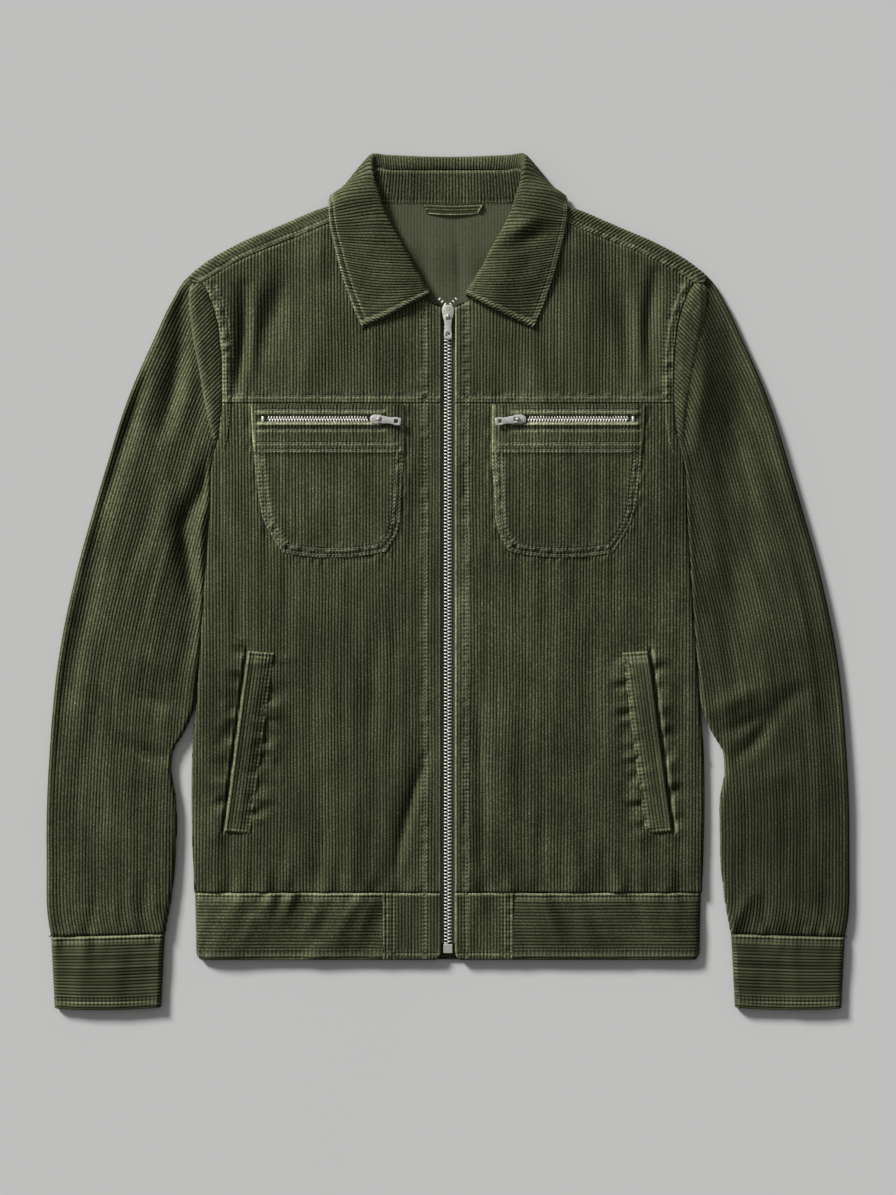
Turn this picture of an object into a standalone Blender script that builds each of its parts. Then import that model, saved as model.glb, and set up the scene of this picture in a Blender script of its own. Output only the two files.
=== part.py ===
"""A zip-front corduroy jacket laid flat on its back, sleeves at its sides.

The sizes are millimetres, and MM turns them to Blender's metres. +X is to the right of
someone looking down on the jacket, +Y towards the collar and +Z up from the surface that it
lies on. "left" and "right" in a name are the sides seen from above: left is -X.

Every cloth piece is an open sheet, made from a grid whose points a function places, with a
Solidify modifier for the wall. The sheets share the outline and the height functions below,
so that two pieces that are sewn together meet along their seam with a small gap.
"""

import math
from collections import namedtuple

import bmesh
import bpy
import numpy as np

MM = 0.001

# Cloth
WALL = 2.2  # one layer of corduroy with its pile
DOUBLE = 3.0  # two layers sewn together: hem band, cuffs, welts
COLLAR_WALL = 2.6
GAP = 0.3  # between neighbouring pieces
SEAM = 0.4  # between two pieces that meet at a seam

# Body
BODY_HEIGHT = 8.0  # top of the front panels above the surface
SIDE_DROP = BODY_HEIGHT - 2 * WALL - GAP  # how far the front comes down to the back's edge
SIDE_ROLL = 16.0  # width of the strip that rolls down at the side
UNDERARM_Y = 109.4
HEM_SEAM_Y = -280.4
HEM_Y = -340.7
YOKE_Y = 160.6
FRONT_EDGE_X = 6.5  # the front edges, either side of the zip
NECK_Y = 340.0  # back neck seam
NECK_LEVEL_X = 50.0  # half the length of the back neck seam that is level
SHOULDER_NECK_X = 84.0  # where the shoulder reaches the collar
SHOULDER_TIP_X = 227.5
SEAM_TIP_X = 221.4  # armhole end of the seam in front of the shoulder
SHOULDER_SLANT = math.radians(27.5)
ARMHOLE_TOP_Y = 275.0

# Collar
FALL_REACH_X = 106.0  # the part of the collar folded under the back neck
FALL_REACH_Y = 304.0
LIFT_SLOPE = 38.0  # length over which the body rises onto it
FALL_LIFT = COLLAR_WALL + GAP + 0.7

# Sleeves and cuffs
SLEEVE_RADIUS = BODY_HEIGHT / 2  # of the roll along each edge
CUFF_RADIUS = 4.2
FLAP_HEIGHT = 1.8  # fold of the sleeve head beside the armhole
FLAP_FALL = 5.0

# Zips
TAPE = 0.8
TAPE_EDGE_X = 15.0
TAPE_START_Y = HEM_Y + 14.8
TAPE_TOP_Y = 252.0
TAPE_LEAN = 7.5  # how far each tape leans out towards the neck
TAPE_LEAN_Y = 236.0  # where it begins to, and over what length
TAPE_LEAN_STRETCH = 18.0
CHAIN_WIDTH = 6.0
CHAIN_TOP = 7.0
CHAIN_BOTTOM = 4.6
SLIDER_TOP_Y = 249.0
SLIDER_BEHIND_BAR = 3.4
BAR_ABOVE_SLIDER = 1.3
PULL_WIDTH = 7.6
PULL_LENGTH = 20.5
PULL_WALL = 1.2
PULL_EYE = 3.2  # width of both eyes
BAIL_EYE_END = 3.4  # from the bar to the far side of the eye round the bail
SECOND_EYE = (14.3, 17.9)  # from the bar to the near and the far side of the second eye
PULL_TAPER = 0.84  # of its width, the tab's width at its free end
BAR_RADIUS = 0.75
BAIL_INNER = 1.3
BAIL_OUTER = 2.4
BAIL_WIDTH = 1.5
BAIL_FOOT = 2.3
CHEST_DROOP = math.radians(7.0)
MAIN_BAR_Z = 10.0
CHEST_BAR_X = 62.5
CHEST_BAR_Z = 14.3

Knot = namedtuple("Knot", "y x")
Place = namedtuple("Place", "x y")
Crease = namedtuple("Crease", "x0 y0 x1 y1 half_width height")
Station = namedtuple("Station", "x y z")
Band = namedtuple("Band", "seam roll over middle edge")
SliderSize = namedtuple("SliderSize", "wide_end narrow_end length depth")

MAIN_SLIDER = SliderSize(11.6, 8.2, 14.0, 4.1)
CHEST_SLIDER = SliderSize(9.0, 7.4, 11.0, 2.0)

# Half width of the body from hem to shoulder tip: side edge, underarm, then armhole seam.
BODY_EDGE = [
    Knot(-281, 228.6), Knot(-213, 231.0), Knot(-153, 230.4), Knot(-107, 227.0),
    Knot(-17, 220.5), Knot(60, 215.5), Knot(109.4, 212.4), Knot(128, 207.0),
    Knot(150, 204.3), Knot(189, 203.4), Knot(211, 204.6), Knot(233, 207.4),
    Knot(252, 213.0), Knot(268, 221.0), Knot(275, 228.6),
]
# Top fold of the shoulder, from the neck to its tip.
SHOULDER_FOLD = [
    Place(84, 346.5), Place(106, 338.2), Place(119, 334), Place(141, 325), Place(162, 316),
    Place(184, 306.6), Place(200, 298.4), Place(216, 289), Place(228, 280),
]
# Seam in front of the shoulder: the back panel comes over the shoulder to it.
SHOULDER_SEAM = [
    Place(84, 331), Place(107, 322), Place(133, 311.3), Place(155, 303), Place(172, 296),
    Place(188, 288.6), Place(208, 277), Place(222, 268.4),
]
FRONT_NECK = [
    Place(6.5, 246.5), Place(19, 252.5), Place(33, 262), Place(48, 275), Place(63, 294),
    Place(75, 314), Place(84, 331),
]
SLEEVE_OUTER = [
    Place(230.6, 276.4), Place(237, 271), Place(248.4, 253), Place(265.5, 217), Place(281.7, 181),
    Place(295.2, 145), Place(306, 109), Place(316.8, 73), Place(336.6, 1), Place(351, -71),
    Place(358.2, -143), Place(361.6, -215), Place(361.6, -251), Place(360, -305),
    Place(357.4, -320),
]
# The sleeve's inner edge follows the body's side down to the elbow. This is the rest of it.
SLEEVE_FREE_Y = -108.0
SLEEVE_INNER = [
    Place(237.5, -135), Place(248, -154), Place(249.4, -168), Place(245.4, -195),
    Place(245, -240), Place(248.6, -280), Place(254.9, -317),
]
SLEEVE_CLEARANCE = 1.4
# Edge of the fold that the sleeve head makes beside the armhole.
SLEEVE_FLAP = [
    Knot(112, 209.6), Knot(120, 212.0), Knot(155, 218.3), Knot(189, 224.1), Knot(228, 231.0),
    Knot(247, 233.0), Knot(256, 234.0),
]
CUFF_CORNERS = {"inner_top": (255.2, -317.6), "outer_top": (357.6, -320.6),
                "inner_hem": (258.6, -383.6), "outer_hem": (354.4, -384.4)}
CUFF_BULGE = 1.8

# Chest pocket, as a piece on the right. Its corners are round.
POCKET_OUTER = [
    Knot(27.5, 149.4), Knot(38.3, 156.6), Knot(52.7, 164.7), Knot(84.2, 171.0),
    Knot(116.6, 174.6), Knot(158.9, 177.6),
]
POCKET_INNER = [
    Knot(27.5, 54.9), Knot(36.5, 49.5), Knot(46.4, 45.0), Knot(71.6, 42.3),
    Knot(115.7, 39.8), Knot(158.9, 40.0),
]
POCKET_HEM_DIP = 6.3
POCKET_ZIP_Y = 145.8
POCKET_ZIP_SLOT = 3.4  # half the slot's height
POCKET_ZIP_OUTER_X = 168.0
POCKET_ZIP_INNER_X = 60.0

# Side pocket welt on the right: its top and bottom, each from the outer to the inner corner.
WELT_TOP = (Place(180.0, -62.6), Place(156.6, -64.4))
WELT_HEM = (Place(201.2, -224.6), Place(177.8, -226.8))

HEM_TAB_X = 58.7
HEM_SIDE_X = 226.6

# Where the cloth sinks or rises by more than its own waviness.
CREASES = [
    Crease(-187, 300, -168, 175, 9, -0.9),
    Crease(190, 296, 178, 180, 10, -0.8),
    Crease(-150, 285, -128, 190, 12, 0.6),
    Crease(146, 282, 120, 188, 12, 0.5),
    Crease(-19, -165, -43, -250, 8, -0.9),
    Crease(30, -150, 22, -262, 9, -0.5),
    Crease(-120, 0, -96, -120, 14, 0.5),
    Crease(118, -20, 100, -140, 14, 0.5),
    Crease(-268, 190, -322, 20, 11, -0.8),
    Crease(270, 186, 326, 16, 11, -0.7),
    Crease(-250, 205, -292, 40, 10, 0.6),
    Crease(252, 200, 296, 36, 10, 0.6),
    Crease(-256, -150, -302, -92, 9, -0.9),
    Crease(256, -152, 300, -98, 9, -0.9),
    Crease(-288, -222, -300, -312, 8, 0.6),
    Crease(286, -226, 304, -312, 8, 0.6),
]

# The collar, from the middle of the back to its front end. First the stand: the seam to the
# neck and the seam to the fall, in the middle of the wall.
STAND = [
    (Station(0, 340.6, 5.0), Station(0, 369.2, 6.8)),
    (Station(30, 340.6, 5.0), Station(29, 369.2, 6.8)),
    (Station(57, 341.4, 5.0), Station(54, 369.2, 7.0)),
    (Station(69, 344.4, 5.8), Station(63, 368.8, 7.4)),
    (Station(75.6, 345.6, 8.0), Station(66.6, 361.2, 8.9)),
    (Station(78.4, 338.0, 10.2), Station(70.6, 346.0, 9.9)),
    (Station(77.8, 327.6, 10.6), Station(67.0, 336.0, 10.6)),
    (Station(70.4, 312.6, 10.2), Station(60.0, 318.6, 10.3)),
    (Station(58.8, 293.8, 8.4), Station(49.6, 299.0, 8.8)),
    (Station(45.2, 277.4, 7.1), Station(38.0, 281.4, 7.6)),
    (Station(30.2, 264.8, 6.9), Station(26.6, 267.4, 7.1)),
    (Station(18.0, 253.6, 6.9), Station(17.2, 255.6, 6.9)),
]
# Then the fall: from the stand over the roll to the free edge. It lies under the back neck,
# turns over the shoulder, and lies on the front.
FALL = [
    Band(Station(0, 370.4, 6.9), Station(0, 381.8, 4.6), Station(0, 373, 1.4),
         Station(0, 342, 1.4), Station(0, 312, 1.4)),
    Band(Station(29, 370.4, 6.9), Station(29.5, 382.2, 4.6), Station(30, 373, 1.4),
         Station(31, 342, 1.4), Station(33, 312, 1.4)),
    Band(Station(54, 370.4, 7.1), Station(56, 383.6, 4.8), Station(57, 374, 1.4),
         Station(61, 343, 1.4), Station(66, 313, 1.4)),
    Band(Station(64.4, 370.2, 7.8), Station(66.2, 384.5, 7.0), Station(69.5, 378.0, 1.8),
         Station(76, 347, 1.4), Station(84, 316, 1.4)),
    Band(Station(69.6, 364.8, 9.9), Station(68.8, 380.4, 11.2), Station(79.4, 372.0, 5.0),
         Station(87, 350, 1.4), Station(95, 322, 1.4)),
    Band(Station(69.0, 353.4, 11.7), Station(68.4, 369.4, 13.4), Station(87.6, 360.8, 7.8),
         Station(96.4, 349.4, 1.9), Station(103, 332, 1.4)),
    Band(Station(67.8, 343.6, 11.4), Station(67.0, 361.0, 14.0), Station(86.0, 358.6, 12.2),
         Station(98.4, 351.0, 6.2), Station(107.8, 343.6, 2.6)),
    Band(Station(65.6, 338.4, 11.6), Station(64.6, 353.6, 14.2), Station(82.0, 353.0, 15.8),
         Station(97.8, 349.2, 13.0), Station(109.4, 344.0, 7.2)),
    Band(Station(63.0, 333.4, 11.6), Station(61.6, 345.0, 14.2), Station(77.0, 345.0, 17.0),
         Station(95.0, 342.0, 16.0), Station(108.6, 338.4, 13.2)),
    Band(Station(61.4, 329.4, 11.6), Station(59.2, 336.6, 14.0), Station(73, 335.4, 17.0),
         Station(92, 332, 15.8), Station(107.0, 329.4, 14.4)),
    Band(Station(58.0, 320.6, 11.6), Station(51.8, 321.2, 13.8), Station(66, 320.6, 16.6),
         Station(86, 318, 15.2), Station(105.2, 316.0, 13.8)),
    Band(Station(48.2, 300.8, 10.2), Station(41.8, 303.2, 12.8), Station(58, 301.0, 15.4),
         Station(80, 299, 13.8), Station(101.0, 297.0, 12.7)),
    Band(Station(36.6, 283.0, 9.2), Station(31.2, 282.6, 11.6), Station(48, 279.0, 13.4),
         Station(70, 274, 12.2), Station(93.6, 270.0, 11.2)),
    Band(Station(25.6, 269.2, 8.5), Station(22.8, 269.4, 10.8), Station(40, 263.0, 12.2),
         Station(62, 255, 11.2), Station(85.6, 247.4, 10.2)),
    Band(Station(17.0, 257.6, 8.5), Station(15.8, 258.4, 9.8), Station(34, 248.4, 11.0),
         Station(56, 237, 10.6), Station(77.0, 227.6, 10.1)),
]

LOOP_ENDS_X = (-23.0, 31.0)
LOOP_Y = 333.8
LOOP_WIDTH = 7.0
LOOP_SAG = 1.4

OLIVE = (0.052, 0.058, 0.030)
OLIVE_DARK = (0.045, 0.050, 0.026)
TAPE_GREY = (0.10, 0.11, 0.09)
NICKEL = (0.62, 0.61, 0.58)


# Interpolation -----------------------------------------------------------------------------

def cubic(knots, values, at):
    """Value at `at` of the smooth curve through the knots, level past its ends."""
    knots = np.asarray(knots, float)
    values = np.asarray(values, float)
    at = np.clip(at, knots[0], knots[-1])
    slopes = np.gradient(values, knots)
    cell = np.clip(np.searchsorted(knots, at) - 1, 0, len(knots) - 2)
    width = knots[cell + 1] - knots[cell]
    t = (at - knots[cell]) / width
    rise = (2 * t + 1) * (1 - t) ** 2 * values[cell] + (3 - 2 * t) * t**2 * values[cell + 1]
    bend = t * (1 - t) ** 2 * slopes[cell] - (1 - t) * t**2 * slopes[cell + 1]
    return rise + bend * width


def reaches(points):
    """Share of the way along a line of points at which each of them stands."""
    steps = np.linalg.norm(np.diff(points, axis=0), axis=1)
    return np.concatenate([[0], np.cumsum(steps)]) / steps.sum()


def along(points, t):
    """Point at the share t of the way along the smooth curve through the points."""
    points = np.asarray(points, float)
    reach = reaches(points)
    return np.array([cubic(reach, points[:, axis], t) for axis in range(points.shape[1])])


def mix(start, end, share):
    return start + (end - start) * share


def ease(share):
    """0 below 0, 1 above 1 and a smooth rise between."""
    share = np.clip(share, 0, 1)
    return share * share * (3 - 2 * share)


def patch(low, high, inner, outer, u, v):
    """Point of the sheet between four edge curves, u from inner to outer, v from low to high."""
    across = (1 - v) * low(u) + v * high(u)
    upward = (1 - u) * inner(v) + u * outer(v)
    corners = ((1 - v) * ((1 - u) * low(0.0) + u * low(1.0))
               + v * ((1 - u) * high(0.0) + u * high(1.0)))
    return across + upward - corners


# Heights -----------------------------------------------------------------------------------

def body_edge(y):
    return cubic([knot.y for knot in BODY_EDGE], [knot.x for knot in BODY_EDGE], y)


def collar_lift(x, y):
    """Rise of the body onto the part of the collar that is folded under the back neck."""
    inside = ease((FALL_REACH_X + LIFT_SLOPE - abs(x)) / LIFT_SLOPE)
    above = ease((y - FALL_REACH_Y + LIFT_SLOPE) / LIFT_SLOPE)
    return FALL_LIFT * inside * above


def creases(x, y):
    total = 0.0
    for crease in CREASES:
        dx, dy = crease.x1 - crease.x0, crease.y1 - crease.y0
        share = ((x - crease.x0) * dx + (y - crease.y0) * dy) / (dx * dx + dy * dy)
        share = min(max(share, 0.0), 1.0)
        away = math.hypot(x - crease.x0 - share * dx, y - crease.y0 - share * dy)
        total += crease.height * math.exp(-((away / crease.half_width) ** 2))
    return total


def front_height(x, y):
    """Outer face of the front panels: level, rolled down at the side seam, and creased."""
    inset = (body_edge(y) - abs(x)) / SIDE_ROLL
    roll = SIDE_DROP * max(0.0, 1 - inset) ** 2 * ease((UNDERARM_Y + 14 - y) / 28)
    return BODY_HEIGHT + collar_lift(x, y) - roll + creases(x, y)


def sleeve_height(x, y):
    """Outer face of the sleeve's top, with the fold beside the armhole."""
    edge = cubic([knot.y for knot in SLEEVE_FLAP], [knot.x for knot in SLEEVE_FLAP], y)
    seam = body_edge(y)
    rise = ease((abs(x) - seam) / max(edge - seam, 1.0))
    fall = 1 - ease((abs(x) - edge) / FLAP_FALL)
    ends = ease((y - 112) / 30) * ease((262 - y) / 14)
    return 2 * SLEEVE_RADIUS + FLAP_HEIGHT * rise * fall * ends + creases(x, y)


# Objects -----------------------------------------------------------------------------------

def clear_scene():
    for thing in list(bpy.data.objects):
        bpy.data.objects.remove(thing, do_unlink=True)


def material(name, colour, roughness, metallic=0.0):
    made = bpy.data.materials.new(name)
    made.use_nodes = True
    shader = made.node_tree.nodes["Principled BSDF"]
    shader.inputs["Base Color"].default_value = (*colour, 1.0)
    shader.inputs["Roughness"].default_value = roughness
    shader.inputs["Metallic"].default_value = metallic
    return made


def add_object(name, mesh_source, finish):
    """A new object in the jacket's collection, from a bmesh that is freed here."""
    mesh = bpy.data.meshes.new(name)
    bmesh.ops.recalc_face_normals(mesh_source, faces=mesh_source.faces)
    mesh_source.to_mesh(mesh)
    mesh_source.free()
    mesh.materials.append(finish)
    mesh.shade_smooth()
    mesh.set_sharp_from_angle(angle=math.radians(40))
    made = bpy.data.objects.new(name, mesh)
    bpy.data.collections["corduroy_jacket"].objects.link(made)
    return made


def grid(columns, rows, place):
    """A grid whose point at the shares u, v (0 to 1) goes to place(u, v), in millimetres."""
    sheet = bmesh.new()
    bmesh.ops.create_grid(sheet, x_segments=columns, y_segments=rows, size=0.5)
    for point in sheet.verts:
        point.co = [value * MM for value in place(point.co.x + 0.5, point.co.y + 0.5)]
    return sheet


def add_cloth(name, sheet, wall, finish, outside_up=True, centred=False, even=True):
    """A cloth piece: the sheet is its outer face, or its middle where centred is true."""
    made = add_object(name, sheet, finish)
    faces = made.data.polygons
    heights = sum(face.normal.z * face.area for face in faces)
    if (heights > 0) != outside_up:
        made.data.flip_normals()
    shell = made.modifiers.new("Cloth", "SOLIDIFY")
    shell.thickness = wall * MM
    shell.offset = 0.0 if centred else -1.0
    shell.use_even_offset = even
    return made


def add_both_sides(name, build):
    """build(full_name, side) for the piece at -X, side -1, and the one at +X, side 1."""
    build(f"{name}_left", -1)
    build(f"{name}_right", 1)


def to_side(place, side):
    """Mirrors the plan of a piece that is defined at +X; heights are worked out after it."""
    def placed(u, v):
        x, y = place(u, v)
        return side * x, y
    return placed


def on_surface(plan, height, rise=0.0):
    """Lays the plan of a piece on a height function."""
    def placed(u, v):
        x, y = plan(u, v)
        return x, y, height(x, y) + rise
    return placed


# Body --------------------------------------------------------------------------------------

def shoulder_fold(x):
    return cubic([p.x for p in SHOULDER_FOLD], [p.y for p in SHOULDER_FOLD], x)


def shoulder_seam(x):
    return cubic([p.x for p in SHOULDER_SEAM], [p.y for p in SHOULDER_SEAM], x)


def front_top(x):
    """Top of the front panel: the neck, and from the neck point on the shoulder seam."""
    if x < SHOULDER_NECK_X:
        return cubic([p.x for p in FRONT_NECK], [p.y for p in FRONT_NECK], x)
    return shoulder_seam(x)


def back_neck(x):
    """Level behind the neck, then up to the shoulder."""
    rise = shoulder_fold(SHOULDER_NECK_X) - BODY_HEIGHT / 2 - NECK_Y
    return NECK_Y + rise * ease((x - NECK_LEVEL_X) / (SHOULDER_NECK_X - NECK_LEVEL_X))


def add_back(finish):
    """The back is one piece. Above the shoulder fold it comes over to the front seam."""
    half_columns, turn_rows, strip_rows = 8, 3, 2
    flat_shares = [0, 0.13, 0.27, 0.4, 0.53, 0.65, 0.76, 0.84, 0.885, 0.915, 0.942, 1]
    flat_rows = len(flat_shares) - 1
    rows = flat_rows + turn_rows + strip_rows
    neck_columns = 3
    out_x, out_y = math.sin(SHOULDER_SLANT), math.cos(SHOULDER_SLANT)
    radius = BODY_HEIGHT / 2

    def column_x(share):
        """The first columns end at the neck, the others at the shoulder."""
        at = share * half_columns
        if at <= neck_columns:
            return SHOULDER_NECK_X * at / neck_columns
        beyond = (at - neck_columns) / (half_columns - neck_columns)
        return mix(SHOULDER_NECK_X, SHOULDER_TIP_X, beyond)

    def top(share):
        x = column_x(share)
        if x < SHOULDER_NECK_X - 0.01:
            return np.array([x, back_neck(x)])
        return np.array([x - radius * out_x, shoulder_fold(x) - radius * out_y])

    def hem(share):
        return np.array([share * body_edge(HEM_SEAM_Y), HEM_SEAM_Y + SEAM / 2])

    def middle(v):
        return np.array([0.0, mix(HEM_SEAM_Y + SEAM / 2, NECK_Y, v)])

    def side(v):
        y = mix(HEM_SEAM_Y + SEAM / 2, top(1.0)[1], v)
        return np.array([min(body_edge(y), top(1.0)[0]) if v > 0.99 else body_edge(y), y])

    def place(u, v):
        share = abs(2 * u - 1)
        turned = 1 if u > 0.5 else -1
        row = v * rows
        if row <= flat_rows + 1e-6:
            x, y = patch(hem, top, middle, side, share, flat_shares[round(row)])
            return turned * x, y, collar_lift(x, y)
        x, y = top(share)
        lift = collar_lift(x, y)
        if row <= flat_rows + turn_rows + 1e-6:
            angle = math.pi * (row - flat_rows) / turn_rows
            x += radius * math.sin(angle) * out_x
            y += radius * math.sin(angle) * out_y
            return turned * x, y, lift + radius * (1 - math.cos(angle))
        share_down = (row - flat_rows - turn_rows) / strip_rows
        seam_x = mix(SHOULDER_NECK_X, SEAM_TIP_X, (column_x(share) - SHOULDER_NECK_X)
                     / (SHOULDER_TIP_X - SHOULDER_NECK_X))
        seam_y = shoulder_seam(seam_x) + SEAM / 2
        end = front_height(turned * seam_x, seam_y)
        return (turned * mix(x, seam_x, share_down), mix(y, seam_y, share_down),
                mix(lift + 2 * radius, end, share_down))

    sheet = grid(2 * half_columns, rows, place)
    # The grid's points run along u within each row: those above the neck are taken out.
    sheet.verts.ensure_lookup_table()
    per_row = 2 * half_columns + 1
    unused = [point for point in sheet.verts
              if point.index // per_row > flat_rows
              and abs(point.index % per_row - half_columns) < neck_columns]
    bmesh.ops.delete(sheet, geom=unused, context="VERTS")
    add_cloth("back", sheet, WALL, finish, outside_up=False)


def add_front_upper(name, side, finish):
    columns, neck_columns = 10, 5
    low_y = YOKE_Y + SEAM / 2
    top_y = front_top(FRONT_EDGE_X)
    end_y = shoulder_seam(SEAM_TIP_X) - SEAM / 2

    def low(u):
        return np.array([mix(FRONT_EDGE_X, body_edge(low_y), u), low_y])

    def high(u):
        # The columns on the shoulder seam stand where those of the back panel do.
        neck_share = u * columns / neck_columns
        x = mix(FRONT_EDGE_X, SHOULDER_NECK_X, neck_share)
        if neck_share > 1:
            beyond = (u * columns - neck_columns) / (columns - neck_columns)
            x = mix(SHOULDER_NECK_X, SEAM_TIP_X, beyond)
        return np.array([x, front_top(x) - SEAM / 2])

    def inner(v):
        return np.array([FRONT_EDGE_X, mix(low_y, top_y - SEAM / 2, v)])

    def outer(v):
        y = mix(low_y, end_y, v)
        return np.array([mix(body_edge(y), SEAM_TIP_X, ease((v - 0.9) / 0.1)), y])

    plan = to_side(lambda u, v: patch(low, high, inner, outer, u, v), side)
    add_cloth(name, grid(columns, 6, on_surface(plan, front_height)), WALL, finish)


def add_front_lower(name, side, finish):
    low_y, high_y = HEM_SEAM_Y + SEAM / 2, YOKE_Y - SEAM / 2

    def plan(u, v):
        y = mix(low_y, high_y, v)
        across = np.interp(u, (0, 0.85, 1), (0, 0.92, 1))  # closer columns on the side's roll
        return side * mix(FRONT_EDGE_X, body_edge(y), across), y

    add_cloth(name, grid(12, 12, on_surface(plan, front_height)), WALL, finish)


# Hem band ----------------------------------------------------------------------------------

def band_edge(y):
    """Half width of the hem band, with its lower corner rounded."""
    corner = max(0.0, (HEM_Y + 8 - y) / 8)
    return HEM_SIDE_X + (y - HEM_Y) * 0.02 - 5 * (1 - math.sqrt(max(0.0, 1 - corner**2)))


def band_height(x, y):
    """Outer face of the front of the band."""
    inset = (band_edge(y) - abs(x)) / SIDE_ROLL
    drop = BODY_HEIGHT + 0.2 - 2 * DOUBLE - GAP
    return BODY_HEIGHT + 0.2 - drop * max(0.0, 1 - inset) ** 2


def band_plan(side, inner_x, outer_x=None):
    """Plan of a stretch of the band, to outer_x or else to the side of the jacket."""
    def plan(u, v):
        y = mix(HEM_Y, HEM_SEAM_Y - SEAM / 2, ease(v) * 0.3 + v * 0.7)
        end = band_edge(y) if outer_x is None else outer_x
        return side * mix(inner_x, end, u), y
    return plan


def add_hem_band(name, side, finish):
    plan = band_plan(side, HEM_TAB_X + SEAM / 2)
    add_cloth(name, grid(9, 6, on_surface(plan, band_height)), DOUBLE, finish)


def add_hem_tab(name, side, finish):
    """The tab beside the zip, with its lower front corner rounded."""
    def plan(u, v):
        y = mix(HEM_Y, HEM_SEAM_Y - SEAM / 2, v)
        corner = max(0.0, (HEM_Y + 9 - y) / 9)
        inner = FRONT_EDGE_X + 6 * (1 - math.sqrt(max(0.0, 1 - corner**2)))
        return side * mix(inner, HEM_TAB_X - SEAM / 2, u), y
    add_cloth(name, grid(4, 8, on_surface(plan, band_height)), DOUBLE, finish)


def add_hem_back(finish):
    def place(u, v):
        y = mix(HEM_Y, HEM_SEAM_Y - SEAM / 2, v)
        return mix(-band_edge(y), band_edge(y), u), y, 0.0
    add_cloth("hem_band_back", grid(8, 8, place), DOUBLE, finish, outside_up=False)


# Sleeves -----------------------------------------------------------------------------------

def ring(width, radius, under, turn, over):
    """Section of a flattened tube, as (distance from its inner edge, height, is_top)."""
    points = [(mix(radius, width - radius, i / under), 0.0, False) for i in range(under)]
    for i in range(turn):
        angle = math.pi * i / turn - math.pi / 2
        points.append((width - radius + radius * math.cos(angle),
                       radius * (1 + math.sin(angle)), False))
    points += [(mix(width - radius, radius, i / over), 2 * radius, True) for i in range(over + 1)]
    for i in range(1, turn):
        angle = math.pi * i / turn + math.pi / 2
        points.append((radius + radius * math.cos(angle), radius * (1 + math.sin(angle)), False))
    return points


def tube(plan, sections, radius, height, side, counts):
    """A flattened tube through sections: plan(u, t) gives x and y, t from its first end."""
    under, turn, over = counts
    around = under + 2 * turn + over

    def place(u, v):
        t = sections[round(v * (len(sections) - 1))]
        ends = plan(0.0, t), plan(1.0, t)
        width = math.dist(*ends)
        away, z, is_top = ring(width, radius, under, turn, over)[round(u * around) % around]
        x, y = plan(away / width, t)
        if is_top:
            z = height(side * x, y)
        return side * x, y, z

    sheet = grid(around, len(sections) - 1, place)
    bmesh.ops.remove_doubles(sheet, verts=sheet.verts, dist=1e-6)
    return sheet


def sleeve_inner_route():
    beside_body = np.linspace(UNDERARM_Y, SLEEVE_FREE_Y, 9)
    return [Place(body_edge(y) + SLEEVE_CLEARANCE, y) for y in beside_body] + SLEEVE_INNER


def sleeve_plan(u, t):
    def armhole(share):
        y = mix(UNDERARM_Y, ARMHOLE_TOP_Y, share)
        return np.array([body_edge(y) + SLEEVE_CLEARANCE, y])

    def cuff(share):
        return np.array([mix(254.9, 357.4, share), mix(-317.0, -320.0, share)])

    return patch(armhole, cuff, lambda v: along(sleeve_inner_route(), v),
                 lambda v: along(SLEEVE_OUTER, v), u, t)


def add_sleeve(name, side, finish):
    sections = [0, 0.03, 0.06, 0.1, 0.16, 0.24, 0.32, 0.4, 0.48, 0.55, 0.6, 0.65, 0.7,
                0.78, 0.86, 0.94, 1]
    sheet = tube(sleeve_plan, sections, SLEEVE_RADIUS, sleeve_height, side, (2, 3, 8))
    made = add_cloth(name, sheet, WALL, finish, even=False)
    face_outwards(made)


def cuff_plan(u, t):
    corners = {key: np.array(value) for key, value in CUFF_CORNERS.items()}
    top = mix(corners["inner_top"], corners["outer_top"], u)
    hem = mix(corners["inner_hem"], corners["outer_hem"], u)
    x, y = mix(top, hem, t)
    return x, y - CUFF_BULGE * t * 4 * u * (1 - u)


def add_cuff(name, side, finish):
    sections = [0, 0.06, 0.35, 0.65, 0.94, 1]
    sheet = tube(cuff_plan, sections, CUFF_RADIUS, lambda x, y: 2 * CUFF_RADIUS, side, (2, 3, 4))
    made = add_cloth(name, sheet, DOUBLE, finish, even=False)
    face_outwards(made)


def face_outwards(made):
    """Turns an open tube's faces away from its middle."""
    mesh = made.data
    middle = sum((face.center * face.area for face in mesh.polygons), mesh.polygons[0].center * 0)
    middle /= sum(face.area for face in mesh.polygons)
    upward = sum(face.normal.z * face.area * (face.center.z - middle.z) for face in mesh.polygons)
    if upward < 0:
        mesh.flip_normals()


# Pockets -----------------------------------------------------------------------------------

def pocket_outline(table, y):
    return cubic([knot.y for knot in table], [knot.x for knot in table], y)


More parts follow.
